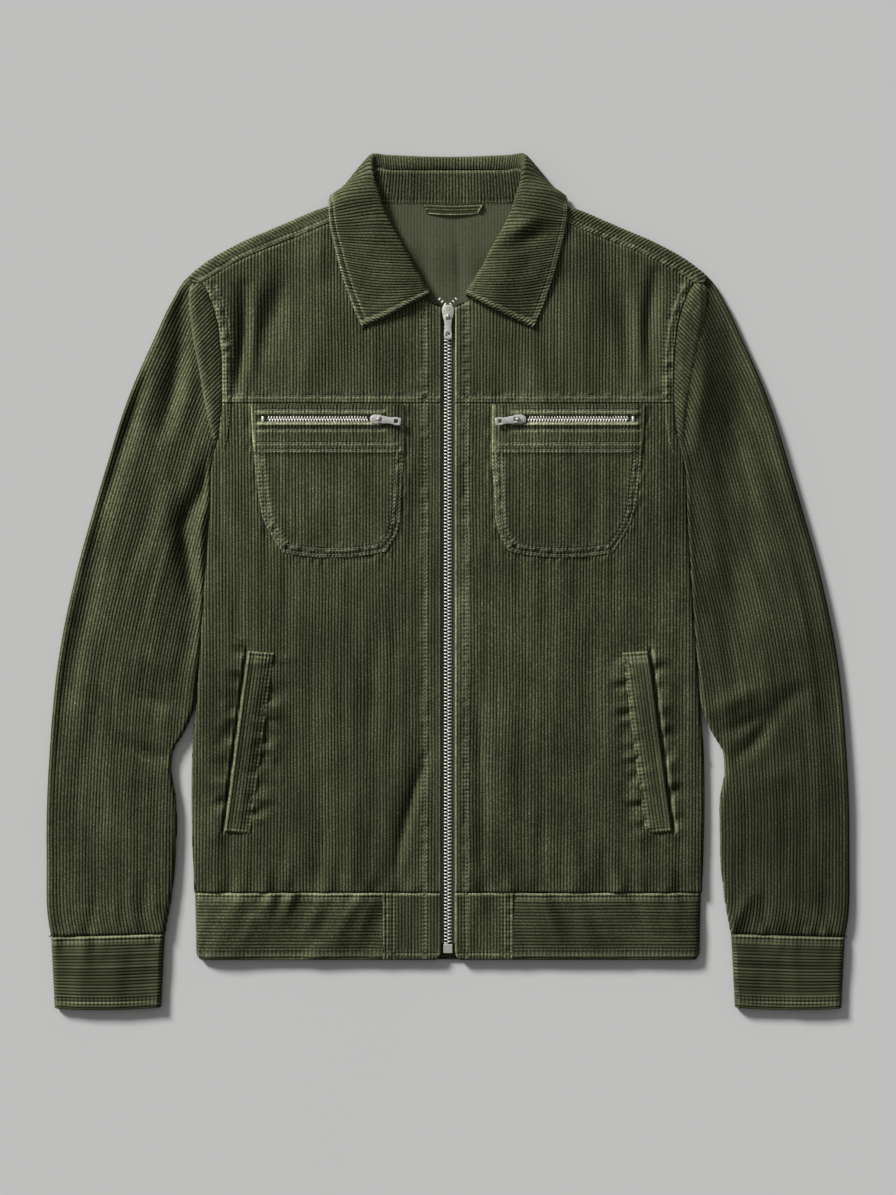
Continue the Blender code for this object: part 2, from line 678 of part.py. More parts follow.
def add_chest_pocket(name, side, finish):
    """A patch on the front with its slot for the zip."""
    low_y = POCKET_OUTER[0].y
    top_y = YOKE_Y - 1.6
    slot_low, slot_high = POCKET_ZIP_Y - POCKET_ZIP_SLOT, POCKET_ZIP_Y + POCKET_ZIP_SLOT
    rows = [0, 0.12, 0.3, 0.5, 0.7, (slot_low - low_y) / (top_y - low_y),
            (slot_high - low_y) / (top_y - low_y), 1]
    columns = 8

    def plan(u, v):
        share = rows[round(v * (len(rows) - 1))]
        y = mix(low_y, top_y, share)
        inner = pocket_outline(POCKET_INNER, y)
        outer = pocket_outline(POCKET_OUTER, y)
        column = round(u * columns)
        ends = {1: POCKET_ZIP_INNER_X, columns - 1: POCKET_ZIP_OUTER_X}
        x = mix(inner, outer, u)
        if column in ends:
            x = mix(x, ends[column], ease((share - 0.3) / 0.4))
        elif 0 < column < columns:
            even = mix(POCKET_ZIP_INNER_X, POCKET_ZIP_OUTER_X, (column - 1) / (columns - 2))
            x = mix(x, even, ease((share - 0.3) / 0.4))
        dip = POCKET_HEM_DIP * 4 * u * (1 - u) * (1 - share) ** 3
        return side * x, y - dip

    sheet = grid(columns, len(rows) - 1, on_surface(plan, front_height, GAP + WALL))
    slot = [face for face in sheet.faces
            if slot_low < face.calc_center_median().y / MM < slot_high
            and POCKET_ZIP_INNER_X < abs(face.calc_center_median().x) / MM < POCKET_ZIP_OUTER_X]
    bmesh.ops.delete(sheet, geom=slot, context="FACES_ONLY")
    add_cloth(name, sheet, WALL, finish)


def add_side_welt(name, side, finish):
    def plan(u, v):
        top = mix(np.array(WELT_TOP[1]), np.array(WELT_TOP[0]), u)
        hem = mix(np.array(WELT_HEM[1]), np.array(WELT_HEM[0]), u)
        x, y = mix(hem, top, v)
        return side * x, y
    add_cloth(name, grid(3, 8, on_surface(plan, front_height, GAP + DOUBLE)), DOUBLE, finish)


# Collar ------------------------------------------------------------------------------------

def mirrored(stations, u, pick):
    """Reads a collar table with u from the left end over the middle of the back."""
    share = 2 * u - 1
    at = abs(share) * (len(stations) - 1)
    point = pick(stations[round(at)])
    return math.copysign(1, share) * point[0], point[1], point[2]


def add_collar_stand(finish):
    rows = 3

    def place(u, v):
        def pick(pair):
            return mix(np.array(pair[0]), np.array(pair[1]), v)
        return mirrored(STAND, u, pick)

    sheet = grid(2 * (len(STAND) - 1), rows, place)
    add_cloth("collar_stand", sheet, WALL, finish, centred=True, even=False)


def add_collar_fall(finish):
    at_rows = [0, 0.4, 0.75, 1, 1.3, 1.65, 2, 2.5, 3, 4]  # in knots of the band
    rows = len(at_rows) - 1

    def place(u, v):
        def pick(band):
            share = np.interp(at_rows[round(v * rows)], range(len(band)), reaches(band))
            x, y, z = along(band, share)
            return x, y, max(z, COLLAR_WALL / 2 + 0.1)
        return mirrored(FALL, u, pick)

    sheet = grid(2 * (len(FALL) - 1), rows, place)
    add_cloth("collar_fall", sheet, COLLAR_WALL, finish, centred=True, even=False)


def add_hanger_loop(finish):
    def place(u, v):
        x = mix(*LOOP_ENDS_X, u)
        y = LOOP_Y + LOOP_WIDTH * (v - 0.5) - LOOP_SAG * (4 * u * (1 - u) - 0.5)
        return x, y, collar_lift(x, y) + WALL + GAP + 1.6
    add_cloth("hanger_loop", grid(6, 1, place), 1.6, finish)


# Zips --------------------------------------------------------------------------------------

def add_box(name, low, high, finish, bevel=0.0):
    """A block between two corners in millimetres, with its edges rounded."""
    block = bmesh.new()
    bmesh.ops.create_cube(block, size=1.0)
    middle = [(a + b) / 2 * MM for a, b in zip(low, high)]
    size = [(b - a) * MM for a, b in zip(low, high)]
    bmesh.ops.scale(block, vec=size, verts=block.verts)
    bmesh.ops.translate(block, vec=middle, verts=block.verts)
    made = add_object(name, block, finish)
    if bevel:
        rounding = made.modifiers.new("Edges", "BEVEL")
        rounding.width = bevel * MM
        rounding.segments = 1
    return made


def add_main_tape(name, side, finish):
    """A strip under the front edge. At the top it leans out to the neck."""
    def place(u, v):
        y = mix(TAPE_START_Y, TAPE_TOP_Y, v)
        lean = TAPE_LEAN * ease((y - TAPE_LEAN_Y) / TAPE_LEAN_STRETCH)
        x = mix(CHAIN_WIDTH / 2 + GAP, TAPE_EDGE_X, u) + lean
        z = front_height(side * (FRONT_EDGE_X + 2.5), y) - WALL - GAP
        return side * x, y, min(z, BODY_HEIGHT - DOUBLE - GAP)
    add_cloth(name, grid(2, 16, place), TAPE, finish)


def add_zip_end(finish):
    add_box("main_zip_box", (-4.2, HEM_Y + 6.0, CHAIN_BOTTOM - 0.4),
            (4.2, HEM_Y + 14.0, CHAIN_TOP + 0.4), finish, 0.5)


def slider_mesh(size):
    """A slider round its bar, which lies on X. Its wide end is at +Y, its narrow end at -Y."""
    body = bmesh.new()
    bmesh.ops.create_cube(body, size=1.0)
    for point in body.verts:
        wide = size.wide_end if point.co.y > 0 else size.narrow_end
        ahead = size.length - SLIDER_BEHIND_BAR
        point.co.x = math.copysign(wide / 2, point.co.x) * MM
        point.co.y = (ahead if point.co.y > 0 else -SLIDER_BEHIND_BAR) * MM
        point.co.z = -(BAR_ABOVE_SLIDER + (0 if point.co.z > 0 else size.depth)) * MM
    return body


def bail_mesh():
    """A half ring over the bar, with feet that go into the slider's top."""
    bail = bmesh.new()
    arch = 8  # steps round the half ring; the feet are a step more at each end
    bmesh.ops.create_grid(bail, x_segments=arch + 2, y_segments=1, size=0.5)
    middle = (BAIL_INNER + BAIL_OUTER) / 2
    for point in bail.verts:
        step = (point.co.x + 0.5) * (arch + 2)
        across = point.co.y * BAIL_WIDTH
        if step < 1:
            y, z = -middle, -BAIL_FOOT
        elif step > arch + 1:
            y, z = middle, -BAIL_FOOT
        else:
            angle = math.pi * (step - 1) / arch
            y, z = -middle * math.cos(angle), middle * math.sin(angle)
        point.co = (across * MM, y * MM, z * MM)
    return bail


def pull_mesh():
    """The pull tab lying towards -Y, with its square eye round the bail and a second eye."""
    tab = bmesh.new()
    rows = [-BAR_RADIUS, BAR_RADIUS, BAIL_EYE_END, *SECOND_EYE, PULL_LENGTH]
    columns = [-PULL_WIDTH / 2, -PULL_EYE / 2, PULL_EYE / 2, PULL_WIDTH / 2]
    bmesh.ops.create_grid(tab, x_segments=3, y_segments=5, size=0.5)
    for point in tab.verts:
        column = round((point.co.x + 0.5) * 3)
        row = round((0.5 - point.co.y) * 5)
        taper = PULL_TAPER if row == 5 else 1.0
        point.co = (columns[column] * taper * MM, -rows[row] * MM, 0)
    holes = []
    for face in tab.faces:
        middle = face.calc_center_median() / MM
        in_bail_eye = BAR_RADIUS < -middle.y < BAIL_EYE_END
        in_second_eye = SECOND_EYE[0] < -middle.y < SECOND_EYE[1]
        if abs(middle.x) < PULL_EYE / 2 and (in_bail_eye or in_second_eye):
            holes.append(face)
    bmesh.ops.delete(tab, geom=holes, context="FACES_ONLY")
    return tab


def add_zip_pull(name, pull_name, size, spot, turn, droop, finish):
    """A slider and its pull. Their empty stands on the hinge axis, along its own X."""
    pivot = bpy.data.objects.new(f"{name}_pivot", None)
    bpy.data.collections["corduroy_jacket"].objects.link(pivot)
    pivot.location = [value * MM for value in spot]
    pivot.rotation_euler = (0, 0, turn)
    body = add_object(name, slider_mesh(size), finish)
    rounding = body.modifiers.new("Edges", "BEVEL")
    rounding.width = 0.7 * MM
    rounding.segments = 2
    bail = add_object(f"{name}_bail", bail_mesh(), finish)
    thick = bail.modifiers.new("Metal", "SOLIDIFY")
    thick.thickness = (BAIL_OUTER - BAIL_INNER) * MM
    thick.offset = 0.0
    bail.hide_render = True
    bail.display_type = "WIRE"
    bpy.data.collections["helpers"].objects.link(bail)
    bpy.data.collections["corduroy_jacket"].objects.unlink(bail)
    joined = body.modifiers.new("Bail", "BOOLEAN")
    joined.operation = "UNION"
    joined.object = bail
    pull = add_object(pull_name, pull_mesh(), finish)
    sheet = pull.modifiers.new("Metal", "SOLIDIFY")
    sheet.thickness = PULL_WALL * MM
    sheet.offset = 0.0
    for made in (body, bail, pull):
        made.parent = pivot
    pull.rotation_euler = (0, 0, droop)


def add_chest_zip(name, side, finish):
    def plan(u, v):
        y = POCKET_ZIP_Y + (v - 0.5) * 2 * (POCKET_ZIP_SLOT - GAP - 0.3)
        return side * mix(74.5, POCKET_ZIP_OUTER_X - 1.2, u), y
    add_cloth(name, grid(6, 1, on_surface(plan, front_height, GAP + 1.8)), 1.8, finish)


# Assembly ----------------------------------------------------------------------------------

def main():
    clear_scene()
    for name in ("corduroy_jacket", "helpers"):
        bpy.context.scene.collection.children.link(bpy.data.collections.new(name))
    bpy.data.collections["helpers"].hide_render = True

    corduroy = material("corduroy", OLIVE, 0.9)
    trim = material("corduroy_trim", OLIVE_DARK, 0.9)
    tape = material("zip_tape", TAPE_GREY, 0.8)
    metal = material("nickel", NICKEL, 0.3, 1.0)

    add_back(corduroy)
    add_both_sides("front_upper", lambda name, side: add_front_upper(name, side, corduroy))
    add_both_sides("front_lower", lambda name, side: add_front_lower(name, side, corduroy))
    add_both_sides("sleeve", lambda name, side: add_sleeve(name, side, corduroy))
    add_both_sides("cuff", lambda name, side: add_cuff(name, side, trim))
    add_hem_back(trim)
    add_both_sides("hem_band_front", lambda name, side: add_hem_band(name, side, trim))
    add_both_sides("hem_tab", lambda name, side: add_hem_tab(name, side, trim))
    add_both_sides("chest_pocket", lambda name, side: add_chest_pocket(name, side, corduroy))
    add_both_sides("side_welt", lambda name, side: add_side_welt(name, side, trim))
    add_collar_stand(corduroy)
    add_collar_fall(corduroy)
    add_hanger_loop(trim)

    add_both_sides("main_zip_tape", lambda name, side: add_main_tape(name, side, tape))
    half_chain = CHAIN_WIDTH / 2
    chain_end_y = SLIDER_TOP_Y - MAIN_SLIDER.length - GAP
    add_box("main_zip_chain", (-half_chain, HEM_Y + 14.4, CHAIN_BOTTOM),
            (half_chain, chain_end_y, CHAIN_TOP), metal, 0.4)
    add_zip_end(metal)
    add_both_sides("chest_zip", lambda name, side: add_chest_zip(name, side, metal))
    main_bar_y = SLIDER_TOP_Y - MAIN_SLIDER.length + SLIDER_BEHIND_BAR
    add_zip_pull("main_slider", "main_pull", MAIN_SLIDER, (0, main_bar_y, MAIN_BAR_Z),
                 0.0, 0.0, metal)
    for label, side in (("left", -1), ("right", 1)):
        add_zip_pull(f"chest_slider_{label}", f"chest_pull_{label}", CHEST_SLIDER,
                     (side * CHEST_BAR_X, POCKET_ZIP_Y, CHEST_BAR_Z), -side * math.pi / 2,
                     side * CHEST_DROOP, metal)


main()
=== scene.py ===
"""Looks of a zip-front corduroy jacket laid flat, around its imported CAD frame.

Sizes are millimetres until MM turns them to metres. +X is to the right of someone looking
down on the jacket, +Y towards the collar, +Z up. Most pieces are defined at +X and mirrored.

Each cloth piece is a grid whose columns follow the wales of the corduroy. Four points across
a wale give it its rib, and the rows along it follow the folds, seams and puckers.
"""

import math
from collections import namedtuple

import bmesh  # noqa: E402
import bpy  # noqa: E402
import numpy as np  # noqa: E402
from mathutils import Matrix, Vector  # noqa: E402

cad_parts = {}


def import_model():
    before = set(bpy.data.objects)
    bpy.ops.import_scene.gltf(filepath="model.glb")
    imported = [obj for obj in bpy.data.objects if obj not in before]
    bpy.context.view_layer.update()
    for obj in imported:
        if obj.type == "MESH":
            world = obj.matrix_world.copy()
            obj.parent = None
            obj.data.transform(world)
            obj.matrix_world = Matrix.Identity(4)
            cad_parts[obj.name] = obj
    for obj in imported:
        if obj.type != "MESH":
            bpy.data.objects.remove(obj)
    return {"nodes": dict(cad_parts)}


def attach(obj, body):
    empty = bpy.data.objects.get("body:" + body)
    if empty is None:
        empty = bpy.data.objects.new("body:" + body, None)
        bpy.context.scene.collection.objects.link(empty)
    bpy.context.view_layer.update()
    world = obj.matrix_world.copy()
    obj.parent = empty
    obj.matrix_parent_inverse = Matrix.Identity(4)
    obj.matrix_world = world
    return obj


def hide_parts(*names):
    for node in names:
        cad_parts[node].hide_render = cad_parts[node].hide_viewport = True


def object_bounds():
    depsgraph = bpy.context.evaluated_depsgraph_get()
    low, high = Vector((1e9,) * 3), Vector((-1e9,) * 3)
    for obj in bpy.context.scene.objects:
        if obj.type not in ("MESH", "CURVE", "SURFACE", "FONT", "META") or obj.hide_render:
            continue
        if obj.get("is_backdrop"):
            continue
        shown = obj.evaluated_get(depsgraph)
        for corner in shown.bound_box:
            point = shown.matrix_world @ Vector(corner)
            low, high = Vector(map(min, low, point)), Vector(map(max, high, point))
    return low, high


MM = 0.001

# Corduroy
PITCH = 2.9  # between wales
WALE_HEIGHT = 0.85
WALE_PHASES = (0.0, 0.2, 0.5, 0.8)  # points across a wale, from one groove to the next
WALE_SHARES = (0.0, 0.78, 1.0, 0.78)  # of its height at those points
ROW = 5.0  # usual spacing of the rows along the wales
CLOSEST_ROWS = 0.35
WALL = 2.2  # one layer of cloth with its pile
DOUBLE = 3.0  # cloth folded in two
COLLAR_WALL = 2.6
GAP = 0.3  # between a pocket or welt and the front that it is sewn to
MINIMUM_CUT = 10.6  # the hanger loop's strip, with its turned edges
RIB_SHARE = 0.86  # of the ribbed surface, the size of the cloth measured flat
WALE_MIDDLE = 0.6  # share of a wale's height that is below the face of its cloth
OUTSIDE_LIFT = WALE_HEIGHT * (1 - WALE_MIDDLE)  # of the undersides, whose ribs reach down
STITCH_PITCH = 3.6
PUCKER_REACH = 4.2  # how far from its stitches the cloth is pinched
PAINTED_SHADE_MIDDLE = 0.96  # painted shade: the pile's lightness in the middle of the jacket
PAINTED_SHADE_SLOPE = (-0.30, 0.48, 0.0)  # and how that painted shade changes per metre, darker towards the lower right
PAINTED_LIGHT_FROM = (-0.68, 0.73, 0.0)  # direction of the key light: the pile's colour is painted lighter on slopes facing it
RIGHT_SLEEVE_PAINTED_SHADE = 0.15  # painted shade that makes the right sleeve's colour darker still
PAINTED_LIGHT_TURN = 0.30  # how far a surface leans towards or away from the key light where its painted light or shade is strongest

# Body
BODY_HEIGHT = 8.0  # face of the fronts, away from the folds
SIDE_RADIUS = 3.8  # of the rolled sides
SIDE_PUFF = 1.0  # how much the fronts drop towards their sides
SIDE_ROLL = 16.0  # and how far inside them that begins
UNDERARM_Y = 109.4
ARMHOLE_LOW_Y = 112.0  # where the armhole's seam begins
ARMHOLE_HIGH_Y = 276.0  # and where it ends
HEM_SEAM_Y = -280.4
HEM_Y = -340.7
YOKE_Y = 160.6
FRONT_EDGE_X = 6.5
EDGE_RADIUS = 1.1  # of the fold along the zip
FRONT_STITCH_X = {-1: 21.2, 1: 16.2}  # the line of stitches behind each front edge
YOKE_ROUTE = [(9.0, YOKE_Y + 6.3), (202.0, YOKE_Y + 6.3)]
NECK_Y = 340.0
SHOULDER_NECK_X = 84.0
SHOULDER_TIP_X = 227.5
SHOULDER_SLANT = math.radians(27.5)
FALL_REACH_X = 106.0  # the collar's fall lies on the body from here to the neck
FALL_REACH_Y = 304.0
FALL_LIFT = 3.6  # how much higher the body is under it
LIFT_SLOPE = 38.0  # how far it takes to rise

# Sleeves and cuffs
SLEEVE_TOP_Y = 278.0
SLEEVE_LENGTH = 599.0
SLEEVE_RADIUS = 4.0  # half the height of the laid sleeve
SLEEVE_CLEARANCE = 0.3  # between it and the body's side
SLEEVE_FREE_Y = -108.0  # below this the sleeve lies apart from the body
HEAD_SLANT = math.radians(46)  # of the wales on the sleeve's head
HEAD_MIDDLE = (220, 200)
CUFF_HEIGHT = 66.0
CUFF_RADIUS = 4.2
CUFF_BULGE = 1.8  # how far its opening bows out in the middle
CUFF_SEAM = [(255, -318), (358, -321)]

# Hem
HEM_TAB_X = 58.7  # where the tab beside the zip ends
HEM_SIDE_X = 226.6
HEM_STITCH_Y = HEM_Y + 6.3
BAND_TOP_Y = HEM_SEAM_Y - 0.2
BAND_REACH = BAND_TOP_Y - HEM_Y + 0.86  # along the cloth, from its fold to the seam

# Pockets
POCKET_LOW_Y = 27.5
POCKET_HEM_DIP = 6.3
POCKET_DIP_X = (104, 52)  # the middle of the dip, and its reach to both sides
POCKET_STITCH_INSETS = (1.8, 7.0)
POCKET_ZIP_Y = 145.8
POCKET_ZIP_SLOT = 3.4  # half the height of the slot
POCKET_ZIP_OUTER_X = 168.0
POCKET_ZIP_INNER_X = 60.0
WELT_WIDTH = 23.4
WELT_LENGTH = 163.0

# Collar and hanger loop
FALL_WIDTH = 80.0  # from the fall's seam over its roll to the free edge
FALL_MIDDLE_LINE = 3  # the line of a Band along which the fall's wales are spaced evenly
LEAF_SHEAR = 0.36  # how far the wales of the leaves drift towards the front edge
ROPE_PITCH = 3.7  # of the twisted edge in front of the leaves
STAND_HEIGHT = 28.0
LOOP_X = (-23.4, 31.4)
LOOP_Y = 336.8
LOOP_WIDTH = 7.6

# Zips and thread
BEHIND_BAR = 3.4  # from a slider's bar to its narrow end
ABOVE_SLIDER = 1.3  # from the slider's top to the middle of the bar
BAIL_INNER = 1.3
BAIL_OUTER = 2.4
BAIL_WIDTH = 1.5
PULL_WALL = 1.2
PULL_EYE = 1.6  # half the width of both eyes
PULL_EYES = ((-0.75, -3.4), (-14.3, -17.9))
CHEST_DROOP = math.radians(7.0)
MAIN_BAR = (0.0, 238.4, 10.0)  # the middle of the main slider's bar
CHEST_BAR = (62.5, POCKET_ZIP_Y, 14.3)
MAIN_TOOTH_PITCH = 3.1
MAIN_TEETH_Y = (HEM_Y + 15.0, 234.6)  # from the box to the slider
CHEST_TOOTH_PITCH = 2.5
CHEST_TEETH_X = (72.5, 164.5)
THREAD_LENGTH = 2.5  # of one stitch
THREAD_GAP = 1.0
THREAD_RADIUS = 0.42

# Light and camera
KEY_ELEVATION = 27.0  # degrees
KEY_AZIMUTH = 133.0
KEY_SPREAD = 14.0
KEY_STRENGTH = 5.2
SKY_STRENGTHS = (0.05, 0.43)  # away from the key light and towards it
FLOOR_HALF = 60.0  # metres
FRAME_HEIGHT = 1.0755  # metres that the camera sees from top to bottom
FRAME_MIDDLE_Y = -0.0144  # metres
JACKET_TOP = 0.008  # metres, the height that the frame is measured at

# Colours: of a wale's crest, of the groove (near black, a painted shade), and of pile made light,
# partly rubbed and partly painted highlight.
CLOTH_COLOURS = ((0.072, 0.079, 0.040), (0.005, 0.006, 0.0025), (0.200, 0.215, 0.125))
TRIM_COLOURS = ((0.070, 0.077, 0.039), (0.011, 0.013, 0.006), (0.195, 0.209, 0.120))

Knot = namedtuple("Knot", "y x")
Place = namedtuple("Place", "x y")
Crease = namedtuple("Crease", "x0 y0 x1 y1 half_width height bow")
Station = namedtuple("Station", "x y z")
Band = namedtuple("Band", "seam roll over middle edge")
Patch = namedtuple("Patch", "points normals inside crest worn seam grain face_sign")
# Besides rubbed pile, the lightening of the pile that a Face gives also carries painted highlight
# at folded edges, lips, the collar's rope and beside stitches.
Face = namedtuple("Face", "x y z inside left worn run near",
                  defaults=(True, 1.0, 0.0, 0.0, 0.0))
Sewn = namedtuple("Sewn", "drop worn run near")
SliderSize = namedtuple("SliderSize", "wide_end narrow_end length depth")

MAIN_SLIDER = SliderSize(11.4, 8.2, 14.0, 4.1)
CHEST_SLIDER = SliderSize(8.9, 7.4, 11.0, 2.0)

BODY_EDGE = [
    Knot(-281, 228.6), Knot(-213, 231.0), Knot(-153, 230.4), Knot(-107, 227.0),
    Knot(-17, 220.5), Knot(60, 215.5), Knot(109.4, 212.4), Knot(128, 207.0),
    Knot(150, 204.3), Knot(189, 203.4), Knot(211, 204.6), Knot(233, 207.4),
    Knot(252, 213.0), Knot(268, 221.0), Knot(275, 228.6),
]
SHOULDER_FOLD = [
    Place(84, 346.5), Place(106, 338.2), Place(119, 334), Place(141, 325), Place(162, 316),
    Place(184, 306.6), Place(200, 298.4), Place(216, 289), Place(228, 280),
]
SHOULDER_SEAM = [
    Place(84, 331), Place(107, 322), Place(133, 311.3), Place(155, 303), Place(172, 296),
    Place(188, 288.6), Place(208, 277), Place(222, 268.4),
]
FRONT_NECK = [
    Place(6.5, 246.5), Place(19, 252.5), Place(33, 262), Place(48, 275), Place(63, 294),
    Place(75, 314), Place(84, 331),
]
SLEEVE_OUTER = [
    Place(228.6, 278.0), Place(237, 271), Place(248.4, 253), Place(265.5, 217), Place(281.7, 181),
    Place(295.2, 145), Place(306, 109), Place(316.8, 73), Place(336.6, 1), Place(351, -71),
    Place(358.2, -143), Place(361.6, -215), Place(361.6, -251), Place(360, -305),
    Place(357.4, -320),
]
SLEEVE_INNER = [
    Place(237.5, -135), Place(248, -154), Place(249.4, -168), Place(245.4, -195),
    Place(245, -240), Place(248.6, -280), Place(254.9, -317),
]
SLEEVE_END = (Place(254.9, -317.0), Place(357.4, -320.0))
HEAD_FOLD = [
    Knot(112, 209.6), Knot(120, 212.0), Knot(155, 218.3), Knot(189, 224.1), Knot(228, 231.0),
    Knot(247, 233.0), Knot(262, 233.0), Knot(270, 230.5),
]
CUFF_TOP = (Place(255.2, -317.6), Place(357.6, -320.6))
CUFF_HEM = (Place(258.6, -383.6), Place(354.4, -384.4))
POCKET_OUTER = [
    Knot(27.5, 149.4), Knot(38.3, 156.6), Knot(52.7, 164.7), Knot(84.2, 171.0),
    Knot(116.6, 174.6), Knot(158.9, 177.6),
]
POCKET_INNER = [
    Knot(27.5, 54.9), Knot(36.5, 49.5), Knot(46.4, 45.0), Knot(71.6, 42.3),
    Knot(115.7, 39.8), Knot(158.9, 40.0),
]
WELT_TOP = (Place(156.6, -64.4), Place(180.0, -62.6))
WELT_HEM = (Place(177.8, -226.8), Place(201.2, -224.6))

# Folds of the body: where the cloth lies lower or higher.
CREASES = [
    Crease(-184, 264, -191, 172, 6.5, -6.0, 3),
    Crease(-148, 270, -172, 180, 12, -4.6, -4),
    Crease(-172, 262, -179, 186, 6, 1.4, 0),
    Crease(-116, 250, -132, 176, 15, 1.9, 5),
    Crease(-84, 222, -90, 168, 8, -0.8, 0),
    Crease(186, 276, 183, 182, 6.5, -4.4, -3),
    Crease(150, 272, 163, 186, 12, -4.0, 4),
    Crease(170, 268, 173, 188, 6, 1.3, 0),
    Crease(112, 246, 126, 172, 13, 1.3, -5),
    Crease(62, 216, 66, 172, 7, -0.7, 0),
    Crease(-18, -152, -47, -262, 5.5, -3.0, -3),
    Crease(-32, -130, -62, -262, 10, 1.3, -4),
    Crease(-72, -60, -78, -160, 9, -1.1, 3),
    Crease(-112, -222, -118, -276, 7, -1.3, 0),
    Crease(-88, -236, -84, -278, 6, 0.9, 0),
    Crease(-140, -238, -146, -279, 6, 0.8, 0),
    Crease(-196, -262, -202, -214, 6, -0.9, 0),
    Crease(24, -96, 30, -250, 7, -2.2, 3),
    Crease(52, -110, 60, -240, 10, 0.8, 0),
    Crease(84, -214, 80, -276, 7, -1.2, 0),
    Crease(112, -222, 118, -278, 7, 0.8, 0),
    Crease(142, -236, 140, -278, 6, -1.0, 0),
    Crease(-120, 4, -96, -120, 15, 0.9, 6),
    Crease(118, -20, 98, -140, 15, 0.8, -6),
    Crease(-146, -2, -150, -60, 9, -0.8, 0),
    Crease(144, -8, 140, -60, 9, -0.8, 0),
    Crease(-206, 96, -196, -10, 9, -1.2, -3),
    Crease(206, 92, 198, -20, 9, -1.1, 3),
]
# Folds of the sleeves.
SLEEVE_CREASES = [
    Crease(-240, 250, -256, 138, 8.5, -5.6, 4),
    Crease(-230, 214, -242, 132, 9, 2.6, 2),
    Crease(-262, 226, -276, 150, 8, 1.8, 2),
    Crease(-274, 178, -308, 76, 10, -4.4, -2),
    Crease(-306, 92, -328, -40, 10, -3.8, -1),
    Crease(-328, -20, -345, -110, 9, -2.2, 0),
    Crease(-338, -66, -349, -160, 8, -1.2, 0),
    Crease(-212, 110, -239, 50, 8.5, -6.2, 3),
    Crease(-238, 66, -230, -16, 8, -6.4, -2),
    Crease(-222, 74, -220, -4, 6, 3.2, 0),
    Crease(-256, 96, -254, 10, 11, 2.2, 2),
    Crease(-262, 130, -250, 60, 12, 1.2, 0),
    Crease(-258, 100, -290, 0, 8, -1.1, 3),
    Crease(-230, -20, -242, -86, 8, -1.8, 3),
    Crease(-250, -160, -291, -144, 7, -2.8, 3),
    Crease(-291, -144, -330, -96, 9, -1.9, -6),
    Crease(-243, -84, -280, -66, 9, 2.0, 0),
    Crease(-246, -112, -286, -96, 7, -1.9, 2),
    Crease(-262, -178, -312, -166, 10, 1.1, 4),
    Crease(-292, -180, -300, -246, 11, 0.9, 0),
    Crease(-322, -130, -334, -220, 10, -1.0, -3),
    Crease(-264, -262, -262, -314, 6, 1.3, 0),
    Crease(-276, -272, -274, -315, 5, -1.4, 0),
    Crease(-300, -286, -300, -316, 5, 1.0, 0),
    Crease(-318, -280, -322, -317, 5, -1.1, 0),
    Crease(232, 250, 222, 120, 8, 3.4, 2),
    Crease(250, 262, 262, 96, 19, -6.4, 2),
    Crease(252, 130, 266, 0, 19, -5.2, 0),
    Crease(288, 206, 310, 70, 17, 2.6, 3),
    Crease(264, 172, 306, 60, 9, -2.7, 2),
    Crease(306, 60, 336, -60, 9, -1.9, 3),
    Crease(336, -60, 350, -164, 8, -1.2, 0),
    Crease(254, 20, 262, -84, 15, -3.4, 0),
    Crease(252, 120, 262, 30, 9, 1.2, 3),
    Crease(268, 92, 290, -14, 8, -1.4, -3),
    Crease(260, -158, 290, -125, 7, -2.8, -3),
    Crease(290, -125, 324, -95, 9, -2.1, 4),
    Crease(235, -118, 282, -95, 9, 2.0, 0),
    Crease(247, -136, 286, -118, 6, -1.6, -2),
    Crease(262, -184, 312, -168, 10, 1.0, -4),
    Crease(290, -182, 296, -250, 11, 0.9, 0),
    Crease(254, -314, 273, -281, 6, 1.7, 0),
    Crease(284, -280, 286, -316, 5, -1.2, 0),
    Crease(312, -284, 312, -317, 5, 1.0, 0),
    Crease(338, -270, 342, -317, 6, -1.2, 0),
]
# Folds of the back's inside, seen in the neck.
INNER_CREASES = [
    Crease(6, 322, 9, 236, 3.5, -1.1, 2),
    Crease(18, 326, 24, 240, 8, 1.0, 0),
    Crease(-34, 326, -20, 250, 9, -1.0, 3),
    Crease(-12, 320, -8, 250, 7, 0.7, 0),
]
# Folds of the collar.
COLLAR_CREASES = [
    Crease(50, 309, 84, 328, 6.5, 1.8, 0),
    Crease(52, 297, 92, 316, 7, -2.2, 0),
    Crease(-62, 330, -78, 282, 9, 0.7, 0),
    Crease(70, 262, 88, 300, 8, 0.6, 0),
    Crease(-40, 262, -74, 250, 6, -0.5, 0),
]

# The stand, from the middle of the back to the front: its seam and its top.
STAND = [
    (Station(0, 340.6, 5.0), Station(0, 370.2, 6.8)),
    (Station(30, 340.6, 5.0), Station(29, 370.2, 6.8)),
    (Station(57, 341.4, 5.0), Station(54, 370.6, 6.9)),
    (Station(69, 344.4, 5.8), Station(64.6, 371.4, 7.2)),
    (Station(75.6, 345.6, 8.0), Station(70.0, 364.0, 8.8)),
    (Station(78.4, 338.0, 10.2), Station(70.6, 346.0, 9.9)),
    (Station(77.8, 327.6, 10.6), Station(67.0, 336.0, 10.6)),
    (Station(70.4, 312.6, 10.2), Station(60.0, 318.6, 10.3)),
    (Station(58.8, 293.8, 8.4), Station(49.6, 299.0, 8.8)),
    (Station(45.2, 277.4, 7.1), Station(38.0, 281.4, 7.6)),
    (Station(30.2, 264.8, 6.9), Station(26.6, 267.4, 7.1)),
    (Station(18.0, 253.6, 6.9), Station(17.2, 255.6, 6.9)),
]
